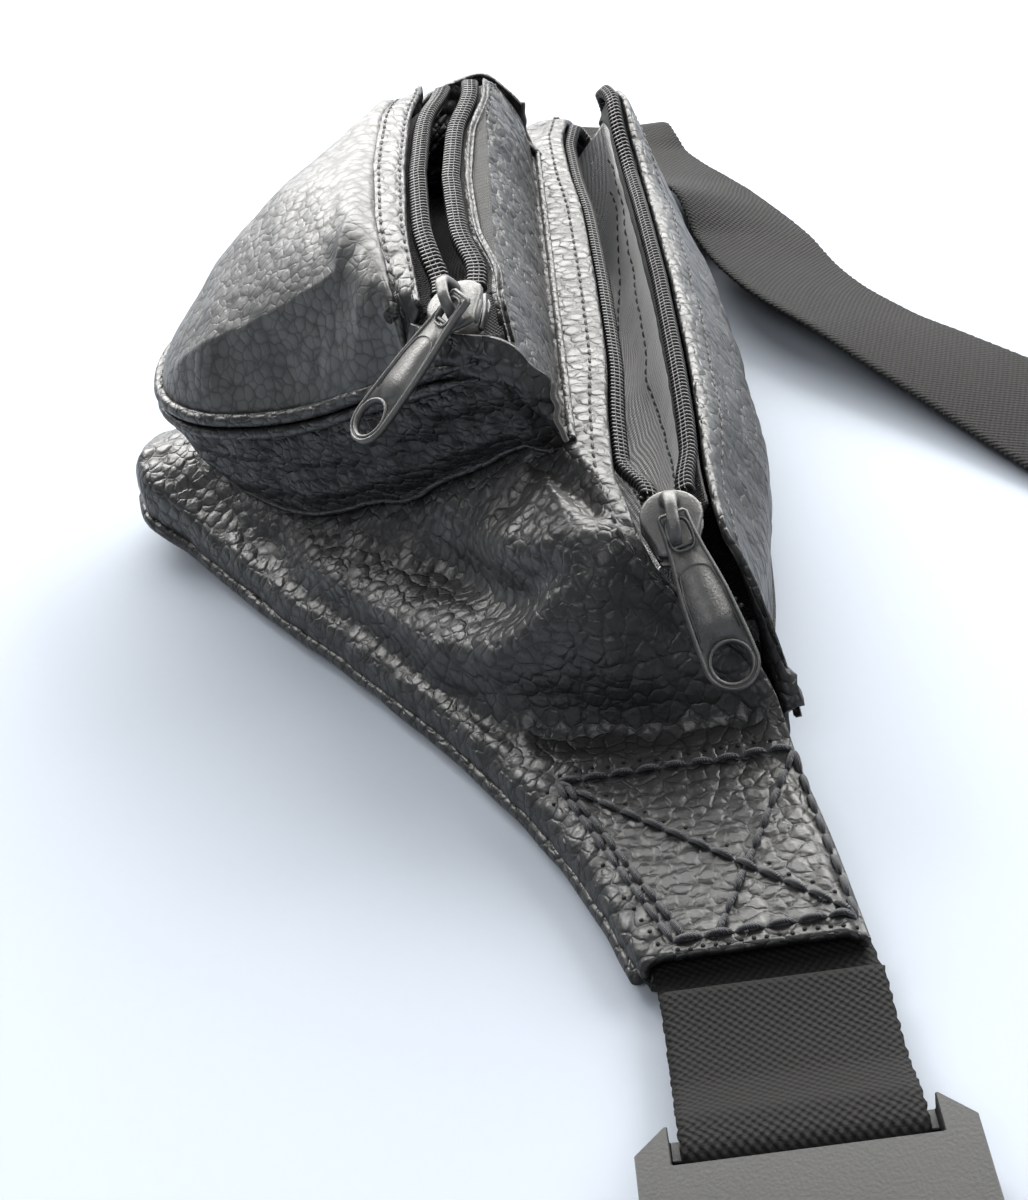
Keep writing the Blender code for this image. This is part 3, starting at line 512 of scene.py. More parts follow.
def bump(tree, shader, height, depth):
    made = node(tree, "ShaderNodeBump", {"Strength": 1, "Distance": depth * MM, "Height": height})
    link(tree, made.outputs[0], shader.inputs["Normal"])


def grey(value, tint=(1, 1, 1)):
    return tuple(value * t for t in tint) + (1,)


def leather(name, tone=0.02, cell=3.4, depth=0.34, stretch=(1, 1, 1), gloss=0.33, level=0.5):
    """Pebbled leather: domed pebbles with soft creases between, fine wrinkles, pores and uneven sheen; its colour
    carries painted shade in the creases and a painted highlight on each pebble top.
    """
    material, tree, shader, place = start_material(name, Specular_IOR_Level=level)
    place = vector_maths(tree, "MULTIPLY", place, tuple(stretch))
    warp = node(tree, "ShaderNodeTexNoise", {"Vector": place, "Scale": 0.30, "Detail": 2.0}).outputs["Color"]
    warp = vector_maths(tree, "SUBTRACT", warp, (0.5, 0.5, 0.5))
    warp = vector_maths(tree, "SCALE", warp, 0.7 * cell)
    moved = vector_maths(tree, "ADD", place, warp)
    edge = cells(tree, moved, 1.0 / cell, "DISTANCE_TO_EDGE")
    dome = cells(tree, moved, 1.0 / cell, "SMOOTH_F1", Smoothness=0.25)
    fine = cells(tree, moved, 2.3 / cell, "SMOOTH_F1", Smoothness=0.3)
    pores = clouds(tree, place, 2.2, 4)
    patches = clouds(tree, place, 0.045, 3)
    crease = remap(tree, edge, 0, 0.12, 0, 1)
    crown = remap(tree, dome, 0.82, 0.28, 0, 1)
    small = remap(tree, fine, 0.75, 0.1, 0, 1)
    height = maths(tree, "MULTIPLY", crown, 1)
    height = maths(tree, "MULTIPLY_ADD", crease, 0.24, height)
    height = maths(tree, "MULTIPLY_ADD", small, 0.12, height)
    height = maths(tree, "MULTIPLY_ADD", pores, 0.12, height)
    bump(tree, shader, height, depth)
    patch = remap(tree, patches, 0.3, 0.7, 0, 1)
    light = mix(tree, patch, grey(tone * 0.8, (0.96, 1, 1)), grey(tone * 1.35, (1, 1, 0.95)))
    # Painted shade and painted highlight: the colour goes to the dark groove tone in the creases and to the lighter
    # tone on the pebble crowns.
    share = maths(tree, "MULTIPLY_ADD", crown, 0.5, maths(tree, "MULTIPLY", crease, 0.5))
    link(tree, mix(tree, share, grey(tone * 0.35), light), shader.inputs["Base Color"])
    shine = maths(tree, "MULTIPLY_ADD", crown, -0.10, gloss + 0.12)
    shine = maths(tree, "MULTIPLY_ADD", pores, 0.14, shine)
    shine = maths(tree, "MULTIPLY_ADD", patch, -0.06, shine)
    link(tree, shine, shader.inputs["Roughness"])
    return material


def woven(name, tone, pitch, shine, depth, diagonal=False, tint=(1, 1, 1), sheen=0, contrast=0.5,
          painted_shade_heights=None, level=0.4):
    """Cloth woven along its own length and width, or on the diagonal; with a pair of heights it is painted darker
    toward the bottom, from full painted shade below the first height to none above the second.
    """
    material, tree, shader, place = start_material(name, Sheen_Weight=sheen, Specular_IOR_Level=level)
    along = node(tree, "ShaderNodeAttribute", attribute_name="along").outputs["Fac"]
    across = node(tree, "ShaderNodeAttribute", attribute_name="across").outputs["Fac"]
    first, second = along, across
    if diagonal:
        first, second = (maths(tree, way, along, across) for way in ("ADD", "SUBTRACT"))
    turn = 2 * math.pi / pitch
    warp = maths(tree, "SINE", maths(tree, "MULTIPLY", first, turn))
    weft = maths(tree, "SINE", maths(tree, "MULTIPLY", second, turn))
    over = maths(tree, "MULTIPLY_ADD", maths(tree, "MULTIPLY", warp, weft), 0.5, 0.5)
    fuzz = clouds(tree, place, 2.5, 4)
    patches = clouds(tree, place, 0.08, 2)
    bump(tree, shader, maths(tree, "MULTIPLY_ADD", fuzz, 0.5, over), depth)
    share = maths(tree, "MULTIPLY_ADD", over, contrast, maths(tree, "MULTIPLY", fuzz, 0.5))
    # Painted shade: below the given heights the weave fades to its dark tone.
    if painted_shade_heights:
        tall = node(tree, "ShaderNodeSeparateXYZ", {0: place}).outputs[2]
        share = maths(tree, "MULTIPLY", share, remap(tree, tall, painted_shade_heights[0], painted_shade_heights[1], 0, 1))
    dark = mix(tree, patches, grey(tone * 0.35, tint), grey(tone * 0.5, tint))
    link(tree, mix(tree, share, dark, grey(tone * 1.5, tint)), shader.inputs["Base Color"])
    link(tree, maths(tree, "MULTIPLY_ADD", fuzz, 0.25, shine), shader.inputs["Roughness"])
    return material


def metal(name, tone=0.20, shine=0.30):
    """Dark plated zinc: fine casting grain, dull patches and small brighter specks."""
    material, tree, shader, place = start_material(name, Metallic=1)
    grain = clouds(tree, place, 2.2, 6)
    broad = clouds(tree, place, 0.35, 3)
    specks = node(tree, "ShaderNodeTexVoronoi", {"Vector": place, "Scale": 0.9}).outputs["Distance"]
    bright_specks = remap(tree, specks, 0.12, 0, 0, 0.5)
    base = mix(tree, broad, grey(tone * 0.7, (1, 1, 0.99)), grey(tone * 1.3, (1, 0.99, 0.97)))
    link(tree, mix(tree, bright_specks, base, grey(min(1, tone * 2.6))), shader.inputs["Base Color"])
    link(tree, maths(tree, "MULTIPLY_ADD", grain, 0.28, shine - 0.08), shader.inputs["Roughness"])
    bump(tree, shader, grain, 0.10)
    return material


def plastic(name, tone=0.02, shine=0.34, grain=1.6):
    """Moulded plastic or nylon: a faint spark-eroded texture and uneven gloss."""
    material, tree, shader, place = start_material(name, Specular_IOR_Level=0.35)
    fine = clouds(tree, place, grain, 5)
    broad = clouds(tree, place, 0.12, 2)
    link(tree, mix(tree, broad, grey(tone * 0.8), grey(tone * 1.25)), shader.inputs["Base Color"])
    link(tree, maths(tree, "MULTIPLY_ADD", fine, 0.22, shine - 0.05), shader.inputs["Roughness"])
    bump(tree, shader, fine, 0.04)
    return material


def thread(name, colour):
    """Twisted sewing thread."""
    material, tree, shader, place = start_material(name, Roughness=0.55, Sheen_Weight=0.25)
    twist = node(tree, "ShaderNodeTexWave", {"Vector": place, "Scale": 1.6, "Distortion": 2.0},
                 bands_direction="DIAGONAL").outputs["Fac"]
    dark = tuple(c * 0.4 for c in colour[:3]) + (1,)
    link(tree, mix(tree, twist, dark, colour), shader.inputs["Base Color"])
    bump(tree, shader, twist, 0.12)
    return material


LEATHER = leather("leather_body")
# The pocket front is a lighter copy of the black leather: painted light on its upward face.
LEATHER_POCKET_LIT = leather("leather_pocket_front_lit", 0.062, cell=2.8, depth=0.14, gloss=0.38)
# The pocket wall is a darker copy of the black leather: painted shade on its steep side.
LEATHER_WALL_SHADED = leather("leather_pocket_wall_shaded", 0.009, cell=3.1, depth=0.36, stretch=(1, 1, 1.4), level=0.36)
LEATHER_STRIP = leather("leather_strip", 0.022, cell=3.2, depth=0.28, stretch=(0.8, 1.3, 1))
# The main lining is painted darker toward its floor, fading in below 11 mm and full below 1 mm: painted shade deep
# in the trough.
LINING = woven("lining_cloth", 0.80, 2.6, 0.30, 0.5, diagonal=True, contrast=1, painted_shade_heights=(1, 11))
LEATHER_REAR = leather("leather_pocket_rear", 0.013, cell=2.9, depth=0.30, level=0.36)
# The pocket lining is a near-black copy of the lining cloth: painted shade inside the pocket.
LINING_SHADED = woven("pocket_lining_shaded", 0.03, 1.9, 0.5, 0.3, diagonal=True, sheen=0.1)
TAPE = woven("zip_tape_weave", 0.012, 0.9, 0.62, 0.3, sheen=0.1)
WEBBING = woven("belt_weave", 0.010, 1.7, 0.72, 0.35, tint=(1, 0.97, 0.96), contrast=0.45, level=0.22)
BACKING = woven("back_cloth", 0.014, 1.2, 0.75, 0.3, sheen=0.1)
COIL = plastic("nylon_coil", 0.010, 0.30)
METAL = metal("gunmetal", 0.13, 0.46)
PLASTIC = plastic("buckle_plastic", 0.012, 0.36)
THREAD = thread("thread_black", (0.008, 0.008, 0.011, 1))
THREAD_NAVY = thread("thread_navy", (0.006, 0.008, 0.016, 1))
# Needle holes drawn as near-black dots: painted shade of the holes.
HOLE_SHADE = plastic("stitch_hole_shade", 0.004, 0.8)
# Raw cut leather edge: its own warm suede tone, made lighter still as a painted highlight along the edge.
SUEDE_HIGHLIGHT = woven("raw_edge_highlight", 0.10, 0.9, 0.9, 0.5, tint=(1, 0.93, 0.84), sheen=0.4)

# ----------------------------------------------------------------- body leather
def tip_lift(x, y):
    """How far the soft lower tip of the bag stands off the floor."""
    return 7.5 * np.exp(-((x + 4) / 34) ** 2) * np.clip((-y - 48) / 38, 0, 1) ** 1.5


FRONT_FOLDS = [
    ([(40, -52), (69.5, -30.5), (89, -16.5), (106, -4), (115.7, 6), (121, 24), (124.5, 38), (126, 48)], 4.2, 5),
    ([(78, -4), (94, 5), (109.8, 12.5), (118, 24), (121.5, 36)], 4, 4.6),
    ([(70, -17), (90, -6), (106, 4), (115.5, 17), (120, 30), (123, 42)], -5.2, 3.8),
    ([(104, -12), (119, 2), (127, 18), (131, 36), (132, 54)], -4.2, 4.4),
    ([(80, 12), (92, 19), (102, 24), (110, 27)], -3.6, 4),
    ([(84, 22), (96, 26), (107, 29)], 0.9, 2.6),
    ([(58, -24), (74, -13), (88, 2), (95, 12)], -3.2, 7),
    ([(20, -66), (44, -50), (70, -33), (96, -16)], -1.3, 3),
    ([(133, 12), (134.5, 30), (134, 50)], 0.9, 2.2),
    ([(-84, 10), (-98, 20), (-110, 28)], -1.8, 5),
    ([(-60, -24), (-90, -8), (-116, 8), (-124, 36)], 2, 6),
    ([(-104, -10), (-124, 12), (-132, 40)], -2, 4),
]


def front_grid():
    """Outer face of the front leather with its folds, dents and roll."""
    xs = [np.linspace(-HALF_SPAN, 60, 200)[:-1], np.linspace(60, 142, 130)[:-1], np.linspace(142, HALF_SPAN, 46)]
    xs = np.concatenate(xs)
    grid = np.array([through(front_section(x), 132) for x in xs])
    normal = -grid_normals(grid)
    x, y = grid[..., 0], grid[..., 1]
    low = np.array([bottom_edge(v) for v in xs])[:, None]
    lip = np.array([front_lip(v)[1] for v in xs])[:, None]
    inside = np.clip((y - low - 2.5) / 7, 0, 1) * np.clip((lip - y - 1.5) / 5, 0, 1)
    under = np.clip((78 - np.abs(x)) / 6, 0, 1) * np.clip((y + 64 - 0.9 * np.abs(x)) / 8, 0, 1)
    lift = folds(grid, FRONT_FOLDS)
    lift += 0.75 * rough(grid, 17, 3.1) + 0.38 * rough(grid, 7.5, 8.7) + 0.15 * rough(grid, 3.6, 1.9)
    calm = np.clip((136.5 - np.abs(x)) / 4, 0.18, 1)
    edge = np.clip((low + 9.0 - y) / 9, 0, 1)
    ripple = 0.45 * edge * rough(grid, 9, 5.5) + 0.3 * edge * rough(grid, 4, 2.2)
    tip = 1.15 * np.exp(-((x + 6) / 32) ** 2) * np.clip(1 - (y - low - 4) / 26, 0, 1)
    grid[..., 2] += np.clip(grid[..., 2] - 4, 0, 20) * tip * 0.6 + tip_lift(x, y)
    return grid + normal * (lift * inside * calm * (1 - 0.85 * under) + ripple)[..., None]


FRONT = front_grid()
shell("front_leather", FRONT, -SHELL_THICK, LEATHER, replaces="main_front_panel")


def front_point(x, y, lift=0):
    """Point on the finished front leather at a place in plan."""
    middle = 60
    i = np.interp(x, FRONT[:, middle, 0], np.arange(len(FRONT)))
    k = int(i)
    rows = FRONT[k] + (FRONT[min(k + 1, len(FRONT) - 1)] - FRONT[k]) * (i - k)
    rows = rows[int(np.argmin(rows[:, 1])):int(np.argmax(rows[:, 1])) + 1]
    return np.array((x, y, np.interp(y, rows[:, 1], rows[:, 2]) + lift))


def back_grid():
    """Leather between the zip's back edge and the back panel."""
    rows = []
    for x in np.linspace(-136, 129, 320):
        lip = back_lip(x)
        points = [lip + (0, 0.5, -2.2), lip + (0, -0.1, -1.2), lip + (0, 0.1, -0.2), lip + (0, 1, 0.35)]
        points += [gusset_point(x, t) for t in (0.07, 0.2, 0.38, 0.58, 0.78, 0.92, 1)]
        rows.append(through(points[::-1], 64))
    grid = np.array(rows)
    weight = end_fade(64, 8, 14)
    lift = 0.9 * rough(grid, 19, 6.1) + 0.4 * rough(grid, 8, 2.4) + 0.15 * rough(grid, 3.8, 9.1)
    lift += folds(grid, [([(60, 62), (82, 56), (100, 50)], -1.2, 6), ([(-20, 62), (4, 54)], -1, 5)])
    return grid + grid_normals(grid) * (lift * weight)[..., None]


BACK = back_grid()
shell("back_leather", BACK, SHELL_THICK, LEATHER, replaces="top_gusset_back")


def cushion():
    """Padded back panel: a flat closed pad with rounded edges."""
    xs = np.concatenate([[-HALF_SPAN, -185.6, -184.9], np.linspace(-183.5, 183.5, 180), [184.9, 185.6, HALF_SPAN]])
    rows = []
    for x in xs:
        low, high = bottom_edge(x) + 0.1, top_edge(x) - 0.1
        end = min(1, 0.35 + (HALF_SPAN - abs(x)) / 2)
        half = BACK_THICK / 2 * end
        under = [(y, -half) for y in np.linspace(low + 1.2, high - 1.2, 40)]
        over = [(y, half) for y in np.linspace(high - 1.2, low + 1.2, 40)]
        far = [(high - 1.2 + 1.2 * math.sin(a), -half * math.cos(a)) for a in spread(0.35, 2.8, 5)]
        near = [(low + 1.2 - 1.2 * math.sin(a), half * math.cos(a)) for a in spread(0.35, 2.8, 5)]
        rows.append([(x, y, BACK_THICK / 2 + z) for y, z in under + far + over + near])
    loop = np.array(rows)
    count, size = loop.shape[:2]
    faces = loop_faces(count, size) + [tuple(range(size)), tuple(range((count - 1) * size, count * size))]
    flat = loop.reshape(-1, 3)
    flat[:, 2] += tip_lift(flat[:, 0], flat[:, 1])
    made = piece("back_cushion", flat, faces, BACKING, replaces="back_panel",
                 values={"along": flat[:, 0], "across": flat[:, 1]})


cushion()
welt_run = np.linspace(-184, 184, 300)
welt_path = np.array([(x, bottom_edge(x) - 0.9, BACK_THICK + 0.5) for x in welt_run])
welt_path[:, 2] += tip_lift(welt_path[:, 0], welt_path[:, 1])
welt_path = welt_path + (0.35 * rough(welt_path, 11, 6.6))[:, None] * (0, 1, 0.6)
tube("seam_welt", welt_path, ring(1.75, 12), (0, 0, 1), LEATHER, replaces="bottom_seam_welt")


# ----------------------------------------------------------------------- lining
def closed_ends(grid):
    """Draw both ends of a trough in to a point, like the sewn ends of a lining."""
    def drawn(row, t, way):
        return row + (row.mean(0) - row) * t + (way * 6.0 * math.sin(t * math.pi / 2), 0, 0)

    first = [drawn(grid[0], t, -1) for t in (0.97, 0.7, 0.35)]
    last = [drawn(grid[-1], t, 1) for t in (0.35, 0.7, 0.97)]
    return np.concatenate([np.array(first), grid, np.array(last)])


def lining_grid():
    """Cloth trough inside the body; its floor lies in soft folds below the open zip."""
    rows = []
    for x in np.linspace(-110, 100, 150):
        lip, end = front_lip(x), back_lip(x)
        low = bottom_edge(x) + 14.0
        room = lip[1] - low
        sink = 5.2 + 3.6 * clamp((x - 40) / 30)
        points = [(x, lip[1] - 1.2, lip[2] - 4)]
        for t in (0.85, 0.6, 0.35, 0.12, 0):
            y = low + room * t
            points.append((x, y, max(front_height(x, y) - sink - 2.0 * t, 5.4)))
        points += [(x, low - 3, 5), (x, low + 2, BACK_THICK + 1.4), (x, (low + 30) / 2, 4.2),
                   (x, lip[1] - 3, 4.8), (x, lip[1] + 3, 8.5),
                   (x, end[1] - 9.4, 14), (x, end[1] - 6, 24), (x, end[1] - 4.2, 33),
                   (x, end[1] - 4, end[2] - 8.2)]
        rows.append(through(points[::-1], 110))
    grid = np.array(rows)
    weight = end_fade(110, 10, 10)
    lift = 0.9 * rough(grid, 15, 4.2) + 0.5 * rough(grid, 7, 7.7)
    grid = grid + grid_normals(grid) * (lift * weight)[..., None]
    return closed_ends(grid)


LINE = lining_grid()
shell("lining_trough", LINE, 0.6, LINING, held="hung", rests_on=["main_tape_front", "main_tape_back"],
      replaces="main_lining")
for label, column in (("upper", 9), ("lower", 17)):
    inward = grid_normals(LINE)[4:-4, column]
    seam = LINE[4:-4, column] + inward * 0.15
    several("lining_seam_" + label, stitch_parts(seam, inward, 3.2, 0.9, 0.3), THREAD, slot="main_lining")


# ------------------------------------------------------------------------- zips
def join_at_slider(point, x, slider, begin, lift):
    """Draw a coil toward the slider's nose as it nears it."""
    if x <= begin:
        return point
    t = (x - begin) / (slider[0] - COIL_MEETS - begin)
    ease = t * t * (3 - 2 * t)
    side = COIL_HALF_GAP if point[1] > slider[1] else -COIL_HALF_GAP
    goal = np.array((x, slider[1] + side, slider[2] + lift))
    return point + (goal - point) * ease


POINTS_PER_TURN = 14


def coil(name, path, up, node_name, width=1.85, height=1.35, pitch=1.6, wire=0.5):
    """A nylon coil: a wound spiral of stiff wire round a woven core, with its sewing threads."""
    path = np.array(path, float)
    run = lengths(path)
    winds = int(run[-1] / pitch)
    angle = np.linspace(0, 2 * math.pi * winds, winds * POINTS_PER_TURN)
    s = angle / (2 * math.pi) * pitch
    centre = at_lengths(s, run, path)
    side, top = frames(path, up)
    sides = unit(at_lengths(s, run, side))
    tops = unit(at_lengths(s, run, top))
    lean = np.clip(1.25 * np.cos(angle), -1, 1)[:, None]
    rise_by = np.clip(1.25 * np.sin(angle), -1, 1)[:, None]
    spiral = centre + sides * lean * (width - wire) + tops * rise_by * (height - wire)
    parts = [tube_parts(spiral, ring(wire, 6), unit(spiral - centre + 1e-9))]
    parts.append(tube_parts(path, ring(0.5, 8, 0.9), up))
    for offset in (-0.55, 0.55):
        line = path + side * offset + top * (height - 0.1)
        wave = 0.14 * np.sin(run * 2 * math.pi / pitch)[:, None]
        parts.append(tube_parts(line + top * (wave - 0.12), ring(0.15, 5), up))
    return several(name, parts, COIL, replaces=node_name)


main_run = np.linspace(-123, MAIN_SLIDER[0] - COIL_STOPS, 620)
main_front = [join_at_slider(front_lip(x) + (0, 2, -2), x, MAIN_SLIDER, *MAIN_JOIN) for x in main_run]
main_back = [join_at_slider(back_lip(x) + (0, -2.6, 0.6), x, MAIN_SLIDER, *MAIN_JOIN) for x in main_run]
coil("coil_main_front", main_front, (0, 0.35, 0.94), "main_coil_front")
coil("coil_main_back", main_back, (0, -0.45, 0.89), "main_coil_back", width=2, height=1.45)


def tape(name, first, second, node_name, thickness=0.5):
    """A woven tape lofted between two edge lines, slightly rippled."""
    first, second = np.array(first, float), np.array(second, float)
    across = np.linspace(0, 1, 9)[None, :, None]
    grid = first[:, None] + (second - first)[:, None] * across
    grid = grid + grid_normals(grid) * (0.25 * rough(grid, 6, 1.3))[..., None]
    return shell(name, grid, thickness, TAPE, replaces=node_name)


xs = main_run[::3]
tape("tape_main_front", [front_lip(x) + (0, -0.3, -2.6) for x in xs], [front_lip(x) + (0, -6, -3.2) for x in xs],
     "main_tape_front")
tape("tape_main_back", [back_lip(x) + (0, -1.2, -0.6) for x in xs], [back_lip(x) + (0, -4.6, -7.8) for x in xs],
     "main_tape_back")

POCKET_LIP_Y = [(0, -7.8), (30, -7.2), (58, -5.2), (66, -4.6), (78, -4)]
POCKET_LIP_Z = [(0, 84.8), (40, 84), (58, 82), (66, 81), (72, 78.5), (78, 74.6)]
POCKET_BACK_LIP_Z = [(0, 81), (58, 81), (66, 80.2), (72, 78), (79, 74.8)]
POCKET_BACK_LIP_Y = 11.6
POCKET_TOP_Y = 20.5
POCKET_SEAM_Y = [(0, -15.5), (30, -14.5), (50, -12.5), (62, -10.8)]
POCKET_SEAM_Z = [(0, 86.5), (30, 86), (50, 83), (62, 77.5)]
POCKET_BASE_PLAN = [(81, 18.6), (73, 7), (63, -8), (53, -23), (42, -38), (34, -46.5),
                    (26, -54), (17, -61), (8, -65.2), (0, -66)]
POCKET_RIM = [(80.2, 10.2, 72.5), (73.5, 1.5, 69), (65, -8, 63.5), (56.5, -20, 57.5), (47.5, -32, 51),
              (40, -43, 47), (33, -54, 44.5), (24.5, -64, 43), (13, -71, 42.5), (0, -72.6, 42.5)]
COIL_BOW = [(0, -5.2), (30, -4.2), (58, -0.4), (66, 0.4)]
COIL_BOW_BACK = [(0, 2.2), (30, 3.6), (58, 7.6), (66, 7.6)]
TAPE_REACH = [(0, -3.4), (44, -3.2), (54, -1.4), (60, 0.2), (66, 0.6)]


def pocket_lip(x):
    return station(x, POCKET_LIP_Y, POCKET_LIP_Z)


def pocket_back_lip(x):
    return np.array((x, POCKET_BACK_LIP_Y, smooth(POCKET_BACK_LIP_Z, abs(x))))


def pocket_seam(x):
    return station(x, POCKET_SEAM_Y, POCKET_SEAM_Z)


pocket_run = np.linspace(-66, POCKET_SLIDER[0] - COIL_STOPS, 400)
front_coil = [np.array((x, smooth(COIL_BOW, abs(x)), pocket_lip(x)[2] - 2)) for x in pocket_run]
back_coil = [np.array((x, smooth(COIL_BOW_BACK, abs(x)), pocket_back_lip(x)[2] - 0.6)) for x in pocket_run]
front_coil, back_coil = ([join_at_slider(p, p[0], POCKET_SLIDER, *POCKET_JOIN) for p in row]
                         for row in (front_coil, back_coil))
coil("coil_pocket_front", front_coil, (0, -0.15, 0.99), "pocket_coil_front", width=2.3, height=1.35)
coil("coil_pocket_back", back_coil, (0, 0.1, 0.99), "pocket_coil_back", width=2.3, height=1.35)
inner = np.array(front_coil)[::3]
tape("tape_pocket_front", inner + (0, 0.9, -1.5),
     [pocket_lip(c[0]) + (0, smooth(TAPE_REACH, abs(c[0])), -4.6) for c in inner], "pocket_tape_front")
inner = np.array(back_coil)[::3]
tape("tape_pocket_back", [pocket_back_lip(c[0]) + (0, -0.5, -1.2) for c in inner], inner + (0, -0.6, -1.5),
     "pocket_tape_back")


# --------------------------------------------------------------- front pocket
def mirrored(points):
    return points + [(-p[0],) + tuple(p[1:]) for p in reversed(points[:-1])]


RIM_POINTS = 301
TURN_IN = 8
PIPING_TRIM = 16
DOME_TRIM = 41
DOME_SEAM_HALF = 62.0
BASE_PLAN = by_index(mirrored(POCKET_BASE_PLAN), RIM_POINTS)
RIM = by_index(mirrored(POCKET_RIM), RIM_POINTS)


def outward(path):
    """Level directions out of the pocket along a path round it."""
    run = np.gradient(path, axis=0)
    out = np.stack([-run[:, 1], run[:, 0], 0 * run[:, 0]], -1)
    return unit(out)


OUT = outward(RIM)
BASE = np.array([front_point(x, y, 0.3) for x, y in BASE_PLAN])
turn = np.linspace(1, 0, TURN_IN + 1)[:-1, None]
BASE = np.concatenate([BASE[0] + turn * (-2.6, 5.4, 0), BASE, BASE[-1] + turn[::-1] * (2.6, 5.4, 0)])
RIM = np.concatenate([RIM[0] + turn * (-2.6, 5, 0.6), RIM, RIM[-1] + turn[::-1] * (2.6, 5, 0.6)])
OUT = np.concatenate([np.repeat(OUT[:1], TURN_IN, 0), OUT, np.repeat(OUT[-1:], TURN_IN, 0)])


def wall_grid():
    """Side wall of the pocket, sagging over its base in soft wrinkles."""
    across = np.linspace(0, 1, 46)
    top = RIM + (0, 0, -1.4)
    grid = BASE[:, None] + (top - BASE)[:, None] * across[None, :, None]
    arch = np.sin(math.pi * across)
    belly = 1.2 + 2.2 * arch + 0.9 * arch ** 2 * np.sin(3.0 * math.pi * across)
    grid = grid + OUT[:, None] * belly[None, :, None]
    weight = arch[None, :] ** 0.6
    lift = 1.25 * rough(grid, 13, 3.3, (1, 1, 2)) + 0.65 * rough(grid, 6, 9.4, (1, 1, 2.2))
    lift += 0.2 * rough(grid, 3.2, 4.4)
    return grid + OUT[:, None] * (lift * weight)[..., None]


WALL = wall_grid()
# The wall wears the darker leather copy: painted shade.
shell("pocket_wall_leather", WALL, SHELL_THICK, LEATHER_WALL_SHADED, replaces="pocket_wall")
DOME_FOLDS = [
    ([(0, -15), (20, -16), (38, -18.5), (44.3, -20), (38.3, -29.8), (28.9, -45.8), (19.3, -60.2), (12, -71)],
     2.5, 4.2, True),
    ([(50, -16), (47, -28), (38, -42), (29, -56)], -1.6, 7),
    ([(58, -14), (55, -20), (48, -30)], 0.9, 3.5),
    ([(20, -26), (12, -44), (4, -62)], -0.9, 9),
    ([(-30, -20), (-40, -36), (-36, -50)], -2.2, 12),
    ([(56, -19), (60, -14), (64, -9)], -0.8, 2.4),
]


def dome_grid():
    """Front of the pocket, from the piped rim up to the zip strip, with its creased shoulder."""
    rim = RIM[DOME_TRIM:-DOME_TRIM]
    rows = []
    for k, start in enumerate(rim):
        seam = pocket_seam(DOME_SEAM_HALF - 2 * DOME_SEAM_HALF * k / (len(rim) - 1))
        out = OUT[DOME_TRIM + k]
        row = [start - out * 0.6 + (0, 0, -0.8), start - out * 0.3 + (0, 0, 0.6)]
        for t in (0, 0.03, 0.08, 0.16, 0.3, 0.48, 0.66, 0.84, 0.95, 1):
            level = start + (seam - start) * t
            level[2] = start[2] + 2.2 + (seam[2] - start[2] - 2.2) * (1 - (1 - t) ** 1.85)
            row.append(level)
        row.append(seam + (0, 0.5, -0.9))
        rows.append(through(row, 96))
    grid = np.array(rows)
    weight = end_fade(96, 14, 9)
    lift = folds(grid, DOME_FOLDS) + 0.55 * rough(grid, 16, 2.6)
    lift = lift + 0.3 * rough(grid, 7, 5.2) + 0.1 * rough(grid, 3.6, 8.2)
    return grid + grid_normals(grid) * (LEATHER_THICK * np.clip(weight + 0.4, 0, 1) + lift * weight)[..., None]


DOME = dome_grid()
# The pocket front wears the lighter leather copy: painted light.
shell("pocket_front_leather", DOME, SHELL_THICK, LEATHER_POCKET_LIT, replaces="pocket_front_panel")
EDGE_Y = [(0, -15), (30, -14), (50, -12), (60, -10.6), (63.5, -9.2), (66, -7.6)]
EDGE_Z = [(0, 86.5), (30, 86), (50, 83), (60, 78.9), (63.5, 74), (66, 71)]
strip_rows = []
for x in np.linspace(-65.5, 65.5, 220):
    edge = station(x, EDGE_Y, EDGE_Z)
    lip = pocket_lip(x)
    row = [edge + (0, -0.4, -1), edge + (0, 0.1, 0.1), edge + (0, 0.8, 0.5),
           edge * 0.65 + lip * 0.35 + (0, 0, 0.75), edge * 0.3 + lip * 0.7 + (0, 0, 0.75),
           lip + (0, -0.9, 0.5), lip + (0, -0.1, 0.1), lip + (0, 0.1, -0.8), lip + (0, -0.5, -1.5)]
    strip_rows.append(through(row, 34))
STRIP = np.array(strip_rows)
ridge = np.clip(np.sin(np.linspace(0, math.pi, 34)), 0, 1)[None]
lift = (0.3 * rough(STRIP, 7, 3.9) + 0.12 * rough(STRIP, 3.4, 6.3)) * ridge
STRIP = STRIP - grid_normals(STRIP) * lift[..., None]
shell("pocket_strip_leather", STRIP, -1.1, LEATHER_STRIP, replaces="pocket_zip_strip")

rolls = RIM[PIPING_TRIM:-PIPING_TRIM]
out = OUT[PIPING_TRIM:-PIPING_TRIM]
thin = np.clip(np.minimum(np.arange(len(rolls)), np.arange(len(rolls))[::-1]) / 16, 0.25, 1)[:, None, None]
wobble = 0.25 * rough(rolls, 9, 7.1)[:, None]
parts = [tube_parts(rolls + out * reach + (0, 0, rise), np.array(ring(radius, 12))[None] * thin, (0, 0, 1))
         for reach, rise, radius in ((2.0 + wobble, 1, 1.55), (2.2 + 1.4 * wobble, -2.5, 1.3))]
several("pocket_piping_rolls", parts, LEATHER, replaces="pocket_piping")
flange = (BASE + OUT * 0.9 + (0, 0, 0.5))[TURN_IN:-TURN_IN]
tube("pocket_base_fold", flange, ring(0.95, 10, 0.8), (0, 0, 1), LEATHER, slot="pocket_wall")

